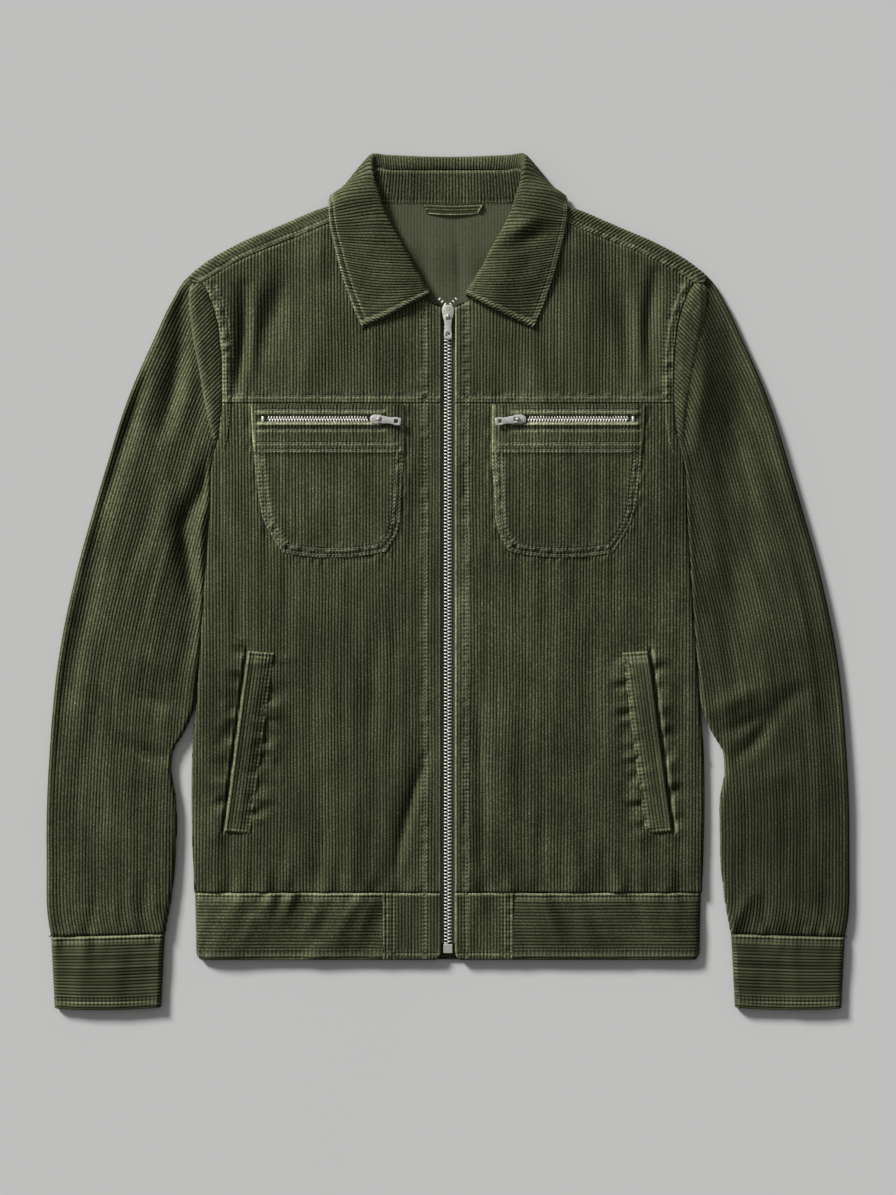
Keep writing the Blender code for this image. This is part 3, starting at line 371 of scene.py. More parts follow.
# The fall, from the middle of the back to the tip of the leaf.
FALL = [
    Band(Station(0, 370.4, 6.9), Station(0, 381.8, 4.6), Station(0, 373, 1.4),
         Station(0, 342, 1.4), Station(0, 312, 1.4)),
    Band(Station(29, 370.4, 6.9), Station(29.5, 382.2, 4.6), Station(30, 373, 1.4),
         Station(31, 342, 1.4), Station(33, 312, 1.4)),
    Band(Station(54, 370.4, 7.1), Station(56, 383.6, 4.8), Station(57, 374, 1.4),
         Station(61, 343, 1.4), Station(66, 313, 1.4)),
    Band(Station(64.4, 370.2, 7.8), Station(66.2, 384.5, 7.0), Station(69.5, 378.0, 1.8),
         Station(76, 347, 1.4), Station(84, 316, 1.4)),
    Band(Station(69.6, 364.8, 9.9), Station(68.8, 380.4, 11.2), Station(79.4, 372.0, 5.0),
         Station(87, 350, 1.4), Station(95, 322, 1.4)),
    Band(Station(69.0, 353.4, 11.7), Station(68.4, 369.4, 13.4), Station(87.6, 360.8, 7.8),
         Station(96.4, 349.4, 1.9), Station(103, 332, 1.4)),
    Band(Station(67.8, 343.6, 11.4), Station(67.0, 361.0, 14.0), Station(86.0, 358.6, 12.2),
         Station(98.4, 351.0, 6.2), Station(105.5, 345.5, 2.6)),
    Band(Station(65.6, 338.4, 11.6), Station(64.6, 353.6, 14.2), Station(82.0, 353.0, 15.8),
         Station(97.8, 349.2, 13.0), Station(107.2, 341.5, 7.2)),
    Band(Station(63.0, 333.4, 11.6), Station(61.6, 345.0, 14.2), Station(77.0, 345.0, 17.0),
         Station(95.0, 342.0, 16.0), Station(107.2, 336.5, 13.2)),
    Band(Station(61.4, 329.4, 11.6), Station(59.2, 336.6, 14.0), Station(73, 335.4, 17.0),
         Station(92, 332, 15.8), Station(107.0, 329.4, 14.4)),
    Band(Station(58.0, 320.6, 11.6), Station(51.8, 321.2, 13.8), Station(66, 320.6, 16.6),
         Station(86, 318, 15.2), Station(105.2, 316.0, 13.8)),
    Band(Station(48.2, 300.8, 10.2), Station(41.8, 303.2, 12.8), Station(58, 301.0, 15.4),
         Station(80, 299, 13.8), Station(101.0, 297.0, 12.7)),
    Band(Station(36.6, 283.0, 9.2), Station(31.2, 282.6, 11.6), Station(48, 279.0, 13.4),
         Station(70, 274, 12.2), Station(93.6, 270.0, 11.2)),
    Band(Station(25.6, 269.2, 8.5), Station(22.8, 269.4, 10.8), Station(40, 263.0, 12.2),
         Station(62, 255, 11.2), Station(85.6, 247.4, 10.2)),
    Band(Station(17.0, 257.6, 8.5), Station(15.8, 258.4, 9.8), Station(34, 248.4, 11.0),
         Station(56, 237, 10.6), Station(77.0, 227.6, 10.1)),
]


# Interpolation -----------------------------------------------------------------------------

def hermite(t, width, values, slopes):
    """The curve over one cell, at the share t of its width, from both ends' values and slopes."""
    rise = (2 * t + 1) * (1 - t) ** 2 * values[0] + (3 - 2 * t) * t**2 * values[1]
    bend = t * (1 - t) ** 2 * slopes[0] - (1 - t) * t**2 * slopes[1]
    return rise + bend * width


def cubic(marks, values, at):
    """Value at `at` of the smooth curve with these values at the marks, level past its ends."""
    marks = np.asarray(marks, float)
    values = np.asarray(values, float)
    at = np.clip(at, marks[0], marks[-1])
    slopes = np.gradient(values, marks)
    cell = np.clip(np.searchsorted(marks, at) - 1, 0, len(marks) - 2)
    width = marks[cell + 1] - marks[cell]
    return hermite((at - marks[cell]) / width, width, (values[cell], values[cell + 1]),
                   (slopes[cell], slopes[cell + 1]))


def reaches(points):
    """Distance of each point of a line from its start, along the line."""
    steps = np.linalg.norm(np.diff(np.asarray(points, float), axis=0), axis=1)
    return np.concatenate([[0], np.cumsum(steps)])


def mix(start, end, share):
    return start + (end - start) * share


def ease(share):
    """0 below 0, 1 above 1 and a smooth rise between."""
    share = np.clip(share, 0, 1)
    return share * share * (3 - 2 * share)


def hump(distance, width):
    """1 on a line, falling smoothly to nothing at its sides."""
    return np.exp(-((distance / width) ** 2))


def drift(x, y, width, length, seed):
    """Smooth unevenness from -1 to 1, in patches of this width along x and length along y."""
    count = 64  # patches before they repeat
    table = np.random.default_rng(seed).uniform(-1, 1, (count, count))
    x, y = np.asarray(x, float) / width, np.asarray(y, float) / length
    column, row = np.floor(x).astype(int), np.floor(y).astype(int)
    low, high = (mix(table[at % count, column % count], table[at % count, (column + 1) % count],
                     ease(x - column)) for at in (row, row + 1))
    return mix(low, high, ease(y - row))


def folded(reach, radius):
    """Cloth folded over an edge: how far from the edge it lies and how far above its middle,
    at a reach along the cloth that is 0 on the edge and negative beyond it."""
    turn = np.clip(reach / radius, -math.pi / 2, math.pi / 2)
    flat = np.maximum(np.abs(reach) - radius * math.pi / 2, 0)
    return radius * (1 - np.cos(turn)) + flat, radius * np.sin(turn)


def rounding(inset, radius):
    """Drop of a rounded edge at this distance inside it."""
    share = np.clip(1 - inset / radius, 0, 1)
    return radius * (1 - np.sqrt(1 - share**2))


def nearest(route, x, y):
    """Distance along a route of points to the place nearest to x, y, and the distance off it."""
    best = np.full(np.broadcast(x, y).shape, 1e9)
    along = np.zeros_like(best)
    start = reaches(route)
    for (x0, y0), (x1, y1), reach in zip(route[:-1], route[1:], start):
        dx, dy = x1 - x0, y1 - y0
        length = max(math.hypot(dx, dy), 1e-6)
        share = np.clip(((x - x0) * dx + (y - y0) * dy) / length**2, 0, 1)
        off = np.hypot(x - x0 - share * dx, y - y0 - share * dy)
        along = np.where(off < best, reach + share * length, along)
        best = np.minimum(best, off)
    return along, best


def puckers(route, x, y, spacing, reach, height, seed):
    """Short ridges across a seam, uneven in spacing and height."""
    along, off = nearest(route, x, y)
    return height * drift(along, off, spacing, reach * 1.5, seed) * hump(off, reach)


def stitched(routes, x, y, depth=0.55):
    """Rows of stitches: how far they draw the cloth down, how far the pile at their sides is made
    light, partly rubbed pile and partly painted highlight, and how far along the nearest row
    each point is and how near to it."""
    found = [nearest(route, x, y) for route in routes]
    off = np.array([found_off for _, found_off in found])
    first = np.argmin(off, axis=0)[None]
    off = np.take_along_axis(off, first, 0)[0]
    run = np.take_along_axis(np.array([along for along, _ in found]), first, 0)[0]
    return Sewn(-depth * hump(off, 0.9), 0.55 * hump(off - 1.3, 0.9), run, hump(off, PUCKER_REACH))


# Shape of the jacket -----------------------------------------------------------------------

def sided(name, side):
    """The name of the piece on this side."""
    return f"{name}_right" if side > 0 else f"{name}_left"


def knots(table, y):
    return cubic([knot.y for knot in table], [knot.x for knot in table], y)


def places(table, x):
    return cubic([place.x for place in table], [place.y for place in table], x)


def body_edge(y):
    return knots(BODY_EDGE, y)


def front_top(x):
    """Top of the front: the neck, and past the neck point the shoulder seam."""
    return np.where(x < SHOULDER_NECK_X, places(FRONT_NECK, x), places(SHOULDER_SEAM, x))


def collar_lift(x, y):
    """How much higher the body lies under the collar's fall."""
    inside = ease((FALL_REACH_X + LIFT_SLOPE - np.abs(x)) / LIFT_SLOPE)
    above = ease((y - FALL_REACH_Y + LIFT_SLOPE) / LIFT_SLOPE)
    return FALL_LIFT * inside * above


def creases(table, x, y):
    """Soft troughs and ridges, deepest half way along and bowed to one side."""
    total = np.zeros(np.broadcast(x, y).shape)
    for crease in table:
        dx, dy = crease.x1 - crease.x0, crease.y1 - crease.y0
        length = math.hypot(dx, dy)
        along = ((x - crease.x0) * dx + (y - crease.y0) * dy) / length
        off = ((y - crease.y0) * dx - (x - crease.x0) * dy) / length
        share = np.clip(along / length, 0, 1)
        off = off - crease.bow * 4 * share * (1 - share)
        beyond = np.maximum(np.maximum(-along, along - length), 0)
        strength = 0.35 + 0.65 * np.sin(math.pi * share)
        total += crease.height * strength * np.exp(-(off**2 + beyond**2) / crease.half_width**2)
    return total


def streaks(x, y, seed):
    """The cloth's small unevenness, long in the direction of the wales."""
    return (0.38 * drift(x, y, 9.5, 110, seed) + 0.12 * drift(x, y, 4.1, 50, seed + 1)
            + 1.15 * drift(x, y, 48, 85, seed + 2) + 0.6 * drift(x, y, 21, 130, seed + 4))


def wander(across, along, seed):
    """How far a wale strays to the side: slowly for all, and a little for each."""
    return (0.9 * drift(across, along, 50, 90, seed) + 0.3 * drift(across, along, 6, 26, seed + 1))


def armhole_band(x, y):
    """The seam allowance under the cloth beside the armhole."""
    inset = body_edge(y) - np.abs(x)
    rise = 0.9 * ease(inset / 1.6) * ease((9.5 - inset) / 2.5)
    return rise * ease((y - ARMHOLE_LOW_Y) / 20) * ease((ARMHOLE_HIGH_Y - y) / 20)


def below_arm(y):
    """0 above the underarm and 1 below it."""
    return ease((UNDERARM_Y + 14 - y) / 28)


def apart(y):
    """0 where the sleeve lies against the body and 1 where it is clear of it."""
    return ease((SLEEVE_FREE_Y + 60 - y) / 50)


def front_height(x, y):
    """Face of the front panels."""
    inset = body_edge(y) - np.abs(x)
    roll = (SIDE_PUFF * np.clip(1 - inset / SIDE_ROLL, 0, 1) ** 2
            + rounding(np.maximum(inset, 0), SIDE_RADIUS)) * below_arm(y)
    roll = roll * mix(0.55, 1.0, apart(y))
    inner = ease((np.abs(x) - FRONT_EDGE_X) / 14)
    under_collar = 1 - 0.8 * ease((y - 300) / 20)
    folds = (creases(CREASES, x, y) + streaks(x, y, 3)) * inner * under_collar
    return BODY_HEIGHT + collar_lift(x, y) - roll + folds + armhole_band(x, y)


# Meshes ------------------------------------------------------------------------------------

def wales(start, stop, offset=0.0, plain_below=-1e9, plain_above=1e9):
    """Places across the cloth, from start to stop, and how high the wales stand there, 0 to 1.
    There is a groove at the offset. Hidden wales, beyond the plain limits, get fewer points."""
    first = math.floor((start - offset) / PITCH)
    last = math.ceil((stop - offset) / PITCH)
    marks, shares = [], []
    for number in range(first, last + 1):
        for phase, share in zip(WALE_PHASES, WALE_SHARES):
            mark = (number + phase) * PITCH + offset
            plain = not plain_below < mark < plain_above
            if start + 0.2 < mark < stop - 0.2 and not (plain and share == WALE_SHARES[1]):
                marks.append(mark)
                shares.append(share)
    marks = np.array([start, *marks, stop])
    return marks, np.array([shares[0], *shares, shares[-1]])


def rows(start, stop, step=ROW, fine=()):
    """Places along the cloth: even, and closer where fine gives (from, to, step)."""
    marks = [np.linspace(start, stop, max(2, round((stop - start) / step) + 1))]
    for low, high, close in fine:
        marks.append(np.arange(max(low, start), min(high, stop), close))
    merged = np.unique(np.concatenate(marks))
    spread = [merged[0]]
    for mark in merged[1:-1]:
        if mark - spread[-1] > CLOSEST_ROWS and merged[-1] - mark > CLOSEST_ROWS:
            spread.append(mark)
    return np.array(spread + [merged[-1]])


def grid_normals(points):
    """The normal at each point of a grid of rows along the wales."""
    across = np.gradient(points, axis=1)
    along = np.gradient(points, axis=0)
    normals = np.cross(across, along)
    length = np.linalg.norm(normals, axis=-1, keepdims=True)
    return np.where(length > 1e-7, normals / np.maximum(length, 1e-7), [0.0, 0.0, 1.0])


def woven(place, across, along, side=1, turned=False, seed=0, height=WALE_HEIGHT):
    """A patch of corduroy: place(a, l) gives its Face at +X. There left is the share of the
    wales' height that is left, and worn how far the pile is made light, by rubbing and by painted
    highlight. The patch's seam holds the run along the nearest stitches, how near they are, and
    how far the surface faces the key light, for painted light and shade."""
    marks, crest = across
    a, l = np.meshgrid(marks, along)
    face = place(a, l)
    points = np.stack(np.broadcast_arrays(face.x, face.y, face.z), axis=-1).astype(float)
    normals = grid_normals(points) * (-1 if turned else 1)
    number = np.floor(a / PITCH)
    uneven = 1 + 0.3 * drift(number * 7.3, l, 1, 34, seed + 11)
    crest = np.broadcast_to(crest, a.shape)
    rib = height * uneven * face.left * (crest - WALE_MIDDLE)
    points = points + normals * rib[..., None]
    mirror = np.array([side, 1, 1])
    # Painted light and shade: how far the surface faces the key light, which lightens or darkens
    # the pile's colour.
    lean = (normals * mirror) @ np.array(PAINTED_LIGHT_FROM)
    return Patch(points=points * mirror,
                 normals=normals * mirror,
                 inside=np.broadcast_to(face.inside, a.shape),
                 crest=mix(0.7, crest, face.left),
                 worn=np.clip(np.broadcast_to(face.worn, a.shape), 0, 1),
                 seam=np.stack(np.broadcast_arrays(face.run, face.near, lean), axis=-1),
                 grain=np.stack([a / PITCH, l, np.full_like(a, 0.37 * seed)], axis=-1),
                 face_sign=side * (-1 if turned else 1))


def patch_faces(patch, first):
    """Quads between the patch's points. Those with no corner on the cloth are left out."""
    count_rows, count_columns = patch.inside.shape
    index = first + np.arange(count_rows * count_columns).reshape(count_rows, count_columns)
    quads = np.stack([index[:-1, :-1], index[:-1, 1:], index[1:, 1:], index[1:, :-1]], axis=-1)
    inside = patch.inside
    used = inside[:-1, :-1] | inside[:-1, 1:] | inside[1:, 1:] | inside[1:, :-1]
    quads = quads[used]
    return quads if patch.face_sign > 0 else quads[:, ::-1]


def with_rim(points, normals, faces, thickness):
    """Adds the cut edge, a strip from every open edge into the cloth, but not into the floor.
    Gives also the numbers of the points that the strip's inner points were made from, and the
    open edges."""
    starts, ends = faces.ravel(), np.roll(faces, -1, axis=1).ravel()
    low, high = np.minimum(starts, ends), np.maximum(starts, ends)
    _, found, counts = np.unique(low * len(points) + high, return_index=True, return_counts=True)
    open_edges = found[counts == 1]
    a, b = starts[open_edges], ends[open_edges]
    used = np.unique(np.concatenate([a, b]))
    inner = points[used] - normals[used] * thickness
    inner[:, 2] = np.maximum(inner[:, 2], 0.0)
    moved = np.zeros(len(points), int)
    moved[used] = len(points) + np.arange(len(used))
    strip = np.stack([b, a, moved[a], moved[b]], axis=-1)
    return (np.concatenate([points, inner]), np.concatenate([faces, strip]), used,
            np.stack([a, b], axis=-1))


def add_attribute(mesh, name, kind, values):
    key = "vector" if kind == "FLOAT_VECTOR" else "value"
    mesh.attributes.new(name, kind, "POINT").data.foreach_set(
        key, values.astype(np.float32).ravel())


def without_slivers(points, faces):
    """Leaves out the faces that have no area."""
    corners = points[faces]
    diagonals = corners[:, 2] - corners[:, 0], corners[:, 3] - corners[:, 1]
    return faces[np.linalg.norm(np.cross(*diagonals), axis=1) > 1e-3]


def new_object(name, data):
    made = bpy.data.objects.new(name, data)
    bpy.context.scene.collection.objects.link(made)
    return made


def new_mesh(name, points, faces):
    mesh = bpy.data.meshes.new(name)
    mesh.from_pydata((points * MM).tolist(), [], faces.tolist())
    mesh.shade_smooth()
    return new_object(name, mesh)


def mark_sharp(mesh, edges, count):
    """Shades these edges sharp."""
    wanted = np.minimum(edges[:, 0], edges[:, 1]) * count + np.maximum(edges[:, 0], edges[:, 1])
    ends = np.zeros(len(mesh.edges) * 2, int)
    mesh.edges.foreach_get("vertices", ends)
    ends = ends.reshape(-1, 2)
    keys = ends.min(axis=1).astype(np.int64) * count + ends.max(axis=1)
    sharp = mesh.attributes.new("sharp_edge", "BOOLEAN", "EDGE")
    sharp.data.foreach_set("value", np.isin(keys, wanted))


def belongs(made, finish, replaced=(), body="jacket"):
    """Gives a piece its material, its body and the CAD nodes that it stands for."""
    made.data.materials.append(finish)
    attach(made, body)
    if replaced:
        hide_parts(*replaced)


def add_cloth(name, patches, finish, replaced, rim=WALL):
    """A piece of cloth made of patches."""
    faces = []
    first = 0
    for patch in patches:
        faces.append(patch_faces(patch, first))
        first += patch.crest.size
    values = {key: np.concatenate([getattr(patch, key).reshape(-1, 3) for patch in patches])
              for key in ("points", "normals", "grain", "seam")}
    values |= {key: np.concatenate([getattr(patch, key).ravel() for patch in patches])
               for key in ("crest", "worn")}
    kept = without_slivers(values["points"], np.concatenate(faces))
    used, faces = np.unique(kept, return_inverse=True)
    faces = faces.reshape(-1, 4)
    values = {key: value[used] for key, value in values.items()}
    open_edges = np.zeros((0, 2), int)
    if rim:
        points, faces, copied, open_edges = with_rim(values["points"], values["normals"], faces,
                                                     rim)
        values = {key: np.concatenate([value, value[copied]]) for key, value in values.items()}
        values["points"] = points
    made = new_mesh(name, values["points"], faces)
    if rim:
        mark_sharp(made.data, open_edges, len(values["points"]))
    for key in ("crest", "worn"):
        add_attribute(made.data, key, "FLOAT", values[key])
    for key in ("grain", "seam"):
        add_attribute(made.data, key, "FLOAT_VECTOR", values[key])
    belongs(made, finish, replaced)
    declare(patches)


def declare(patches):
    """Works out how large the piece was cut, its reach across and along the wales and its area,
    and then does nothing with them.
    """
    area = 0.0
    for patch in patches:
        diagonals = (patch.points[1:, 1:] - patch.points[:-1, :-1],
                     patch.points[1:, :-1] - patch.points[:-1, 1:])
        sizes = np.linalg.norm(np.cross(*diagonals), axis=-1) / 2
        area += float((sizes * (patch.inside[:-1, :-1] | patch.inside[1:, 1:])).sum())
    largest = max(patches, key=lambda patch: patch.crest.size)
    shown = largest.grain[largest.inside]
    width = max(np.ptp(shown[:, 0]) * PITCH, MINIMUM_CUT)
    area = max(area * RIB_SHARE, width * np.ptp(shown[:, 1]) * 0.75)


# Materials ---------------------------------------------------------------------------------

def feed(tree, target, value):
    """Gives a node's input a number, a colour or another node's output."""
    if isinstance(value, (int, float)):
        target.default_value = value
    elif isinstance(value, tuple):
        target.default_value = (*value, 1.0)
    else:
        tree.links.new(value, target)


def new_material(name, **values):
    """A material, its node tree and its shader with these inputs."""
    made = bpy.data.materials.new(name)
    made.use_nodes = True
    shader = made.node_tree.nodes["Principled BSDF"]
    for key, value in values.items():
        shader.inputs[key.replace("_", " ")].default_value = value
    return made, made.node_tree, shader


def object_place(tree):
    return tree.nodes.new("ShaderNodeTexCoord").outputs["Object"]


def attribute(tree, name, output):
    node = tree.nodes.new("ShaderNodeAttribute")
    node.attribute_name = name
    return node.outputs[output]


def parted(tree, vector):
    """The X, Y and Z of a vector."""
    node = tree.nodes.new("ShaderNodeSeparateXYZ")
    tree.links.new(vector, node.inputs[0])
    return node.outputs


def dot_product(tree, vector, direction):
    """How far a vector reaches in this direction."""
    node = tree.nodes.new("ShaderNodeVectorMath")
    node.operation = "DOT_PRODUCT"
    tree.links.new(vector, node.inputs[0])
    node.inputs[1].default_value = direction
    return node.outputs["Value"]


def math_node(tree, operation, first, second=None):
    node = tree.nodes.new("ShaderNodeMath")
    node.operation = operation
    feed(tree, node.inputs[0], first)
    if second is not None:
        feed(tree, node.inputs[1], second)
    return node.outputs[0]


def mix_colour(tree, share, first, second, blend="MIX"):
    node = tree.nodes.new("ShaderNodeMix")
    node.data_type = "RGBA"
    node.blend_type = blend
    factor, first_colour, second_colour = node.inputs[0], node.inputs[6], node.inputs[7]
    for target, value in ((factor, share), (first_colour, first), (second_colour, second)):
        feed(tree, target, value)
    return node.outputs[2]


def noise(tree, vector, scale, detail=2.0, roughness=0.5):
    """Noise of one scale, or of a scale for each direction."""
    if isinstance(scale, tuple):
        stretch = tree.nodes.new("ShaderNodeMapping")
        stretch.inputs["Scale"].default_value = scale
        tree.links.new(vector, stretch.inputs["Vector"])
        vector, scale = stretch.outputs["Vector"], 1.0
    node = tree.nodes.new("ShaderNodeTexNoise")
    for key, value in (("Scale", scale), ("Detail", detail), ("Roughness", roughness),
                       ("Vector", vector)):
        feed(tree, node.inputs[key], value)
    return node.outputs["Fac"]


def spread_range(tree, value, low, high, new_low, new_high):
    node = tree.nodes.new("ShaderNodeMapRange")
    for key, end in (("From Min", low), ("From Max", high), ("To Min", new_low),
                     ("To Max", new_high), ("Value", value)):
        feed(tree, node.inputs[key], end)
    return node.outputs["Result"]


def bumpy(tree, shader, height, strength, distance):
    node = tree.nodes.new("ShaderNodeBump")
    for key, value in (("Strength", strength), ("Distance", distance), ("Height", height)):
        feed(tree, node.inputs[key], value)
    feed(tree, shader.inputs["Normal"], node.outputs["Normal"])


def wear_and_highlight_share(tree, tufts, pinch, rib):
    """How far the colour is made light on the wales' crests, at folded edges and on the puckers
    beside stitches: partly rubbed pile, partly painted highlight.
    """
    tips = math_node(tree, "MULTIPLY", rib, spread_range(tree, tufts, 0.5, 0.78, 0.0, 0.5))
    lit = math_node(tree, "MULTIPLY", math_node(tree, "MAXIMUM", pinch, 0.0), 0.3)
    at_folds = math_node(tree, "MULTIPLY", attribute(tree, "worn", "Fac"),
                         spread_range(tree, tufts, 0.3, 0.6, 0.3, 1.0))
    at_folds = math_node(tree, "MULTIPLY", at_folds, spread_range(tree, pinch, -1, 1, 0.5, 1.5))
    return math_node(tree, "MAXIMUM", math_node(tree, "MAXIMUM", tips, at_folds), lit)


def painted_shade_and_tone(tree, grain, tufts, lean):
    """How dark the pile's colour is: a painted shade towards the lower right, painted light and
    shade by how far the surface faces the key light, and the pile's uneven tone at several scales.
    """
    place = object_place(tree)
    streak = noise(tree, grain, (0.55, 0.012, 1.0), 2.0)
    patches = noise(tree, place, 22.0, 3.0, 0.6)
    broad = noise(tree, place, 6.0, 2.0)
    # Painted shade: the colour darkens towards the lower right of the jacket.
    shade = math_node(tree, "ADD", dot_product(tree, place, PAINTED_SHADE_SLOPE), PAINTED_SHADE_MIDDLE)
    # Painted light and shade by how far the surface faces the key light.
    painted_facing_light = spread_range(tree, lean, -PAINTED_LIGHT_TURN, PAINTED_LIGHT_TURN, 0.56, 1.44)
    shade = math_node(tree, "MULTIPLY", shade, painted_facing_light)
    for value, low, high in ((streak, 0.80, 1.20), (patches, 0.78, 1.22), (broad, 0.88, 1.12),
                             (tufts, 0.62, 1.38)):
        shade = math_node(tree, "MULTIPLY", shade, spread_range(tree, value, 0.3, 0.7, low, high))
    grey = tree.nodes.new("ShaderNodeCombineColor")
    for channel in ("Red", "Green", "Blue"):
        feed(tree, grey.inputs[channel], shade)
    return grey.outputs["Color"]


def corduroy(name, crest_colour, groove_shade_colour, wear_and_highlight_colour):
    """Pile ribs: light on their crests and dark in the grooves, the grooves' near black a painted
    shade. The nap lies unevenly, is made light where the cloth is folded and on the puckers,
    partly rubbed pile and partly painted highlight, is pinched at every stitch, and carries
    painted light and shade by how it faces the key light."""
    made, tree, shader = new_material(
        name, Roughness=0.95, Specular_IOR_Level=0.05, Sheen_Weight=0.08, Sheen_Roughness=0.5,
        Sheen_Tint=(0.60, 0.68, 0.42, 1.0))
    grain = attribute(tree, "grain", "Vector")
    # The third value carries painted light and shade: how far the surface faces the key light.
    run, near, lean = parted(tree, attribute(tree, "seam", "Vector"))
    tufts = noise(tree, grain, (1.8, 0.75, 1.0), 3.0, 0.7)

    beat = math_node(tree, "MULTIPLY", run, 2 * math.pi / STITCH_PITCH)
    beat = math_node(tree, "ADD", beat, math_node(tree, "MULTIPLY", tufts, 3.0))
    pinch = math_node(tree, "MULTIPLY", math_node(tree, "SINE", beat), near)

    rib = math_node(tree, "POWER", attribute(tree, "crest", "Fac"), 1.7)
    # Painted shade: the grooves are coloured near black.
    colour = mix_colour(tree, rib, groove_shade_colour, crest_colour)
    # Painted highlight, with rubbed pile: crests, folded edges and puckers made light.
    colour = mix_colour(tree, wear_and_highlight_share(tree, tufts, pinch, rib), colour, wear_and_highlight_colour)
    colour = mix_colour(tree, 1.0, colour, painted_shade_and_tone(tree, grain, tufts, lean), "MULTIPLY")
    feed(tree, shader.inputs["Base Color"], colour)

    pile = noise(tree, grain, (3.2, 1.5, 1.0), 3.0, 0.7)
    height = math_node(tree, "ADD", pile, math_node(tree, "MULTIPLY", pinch, 0.7))
    bumpy(tree, shader, height, 0.75, 0.0006)
    return made


def reverse_cloth():
    """The smooth inside of the cloth, with faint lines where the ribs are woven in."""
    made, tree, shader = new_material("reverse_cloth", Roughness=0.9, Specular_IOR_Level=0.1,
                                      Sheen_Weight=0.05)
    place = object_place(tree)
    unevenness = noise(tree, place, (360.0, 90.0, 1.0), 2.0)
    turns = math_node(tree, "MULTIPLY", parted(tree, place)["X"], 2 * math.pi / (PITCH * MM))
    turns = math_node(tree, "ADD", turns, math_node(tree, "MULTIPLY", unevenness, 2.5))
    lines = math_node(tree, "SINE", turns)
    weave = noise(tree, place, 900.0, 3.0, 0.7)
    shade = math_node(tree, "ADD", spread_range(tree, lines, -1.0, 1.0, 0.0, 0.4),
                      spread_range(tree, weave, 0.35, 0.65, 0.0, 0.6))
    colour = mix_colour(tree, shade, (0.042, 0.047, 0.025), (0.096, 0.103, 0.060))
    feed(tree, shader.inputs["Base Color"], colour)
    bumpy(tree, shader, shade, 0.5, 0.0004)
    return made


def nickel(name, colour, roughness):
    """Plated metal, with its shine slightly uneven."""
    made, tree, shader = new_material(name, Metallic=1.0)
    place = object_place(tree)
    grime = noise(tree, place, 420.0, 3.0, 0.6)
    shade = mix_colour(tree, spread_range(tree, grime, 0.35, 0.7, 0.0, 1.0), colour,
                       tuple(0.72 * channel for channel in colour))
    feed(tree, shader.inputs["Base Color"], shade)
    feed(tree, shader.inputs["Roughness"],
         spread_range(tree, grime, 0.3, 0.7, roughness, roughness + 0.16))
    bumpy(tree, shader, noise(tree, place, (900.0, 3000.0, 900.0), 2.0), 0.12, 0.0001)
    return made


def woven_tape():
    """Zip tape: a fine herringbone."""
    made, tree, shader = new_material("woven_tape", Roughness=0.85, Specular_IOR_Level=0.2)
    weave = noise(tree, object_place(tree), (1400.0, 700.0, 700.0), 2.0)
    colour = mix_colour(tree, weave, (0.060, 0.063, 0.048), (0.130, 0.134, 0.106))
    feed(tree, shader.inputs["Base Color"], colour)
    bumpy(tree, shader, weave, 0.4, 0.0002)
    return made


def thread_material():
    """Sewing thread, a little lighter than the cloth."""
    made, tree, shader = new_material("thread", Roughness=0.7, Specular_IOR_Level=0.3,
                                      Sheen_Weight=0.2)
    twist = noise(tree, object_place(tree), 1600.0, 2.0)
    colour = mix_colour(tree, twist, (0.080, 0.088, 0.048), (0.170, 0.180, 0.110))
    feed(tree, shader.inputs["Base Color"], colour)
    return made


# Body --------------------------------------------------------------------------------------

def front_edge_route(side):
    """The line of stitches along a front edge."""
    x = FRONT_STITCH_X[side]
    return [(x, HEM_Y + 3), (x, 40.0), (x, 250.0)]


def welt_side(share):
    """The line along the welt at this share of its width from its inner edge."""
    top = mix(np.array(WELT_TOP[0]), np.array(WELT_TOP[1]), share)
    hem = mix(np.array(WELT_HEM[0]), np.array(WELT_HEM[1]), share)
    return [tuple(hem), tuple(top)]


def front_face(side, a, y, routes=()):
    """Face of a front panel at the distance a behind the front edge, folded under before it,
    with rows of stitches along the front edge and along the routes."""
    away, rise = folded(a, EDGE_RADIUS)
    x = FRONT_EDGE_X + away + wander(away, y, 20 + side) * ease(away / 16)
    edge = body_edge(y)
    inside = x <= edge
    x = np.minimum(x, edge)
    edge_route = front_edge_route(side)
    sewn = stitched([edge_route, *routes], x, y)
    z = front_height(side * x, y) + (rise - EDGE_RADIUS) + sewn.drop
    z = z + puckers(edge_route, x, y, 4.6, 4.5, 0.7, 31 + side)
    worn = np.maximum(sewn.worn, hump(away, 1.6) * (a > 0))
    return Face(x, y, z, inside, ease((a + 4) / 3), worn, sewn.run, sewn.near)


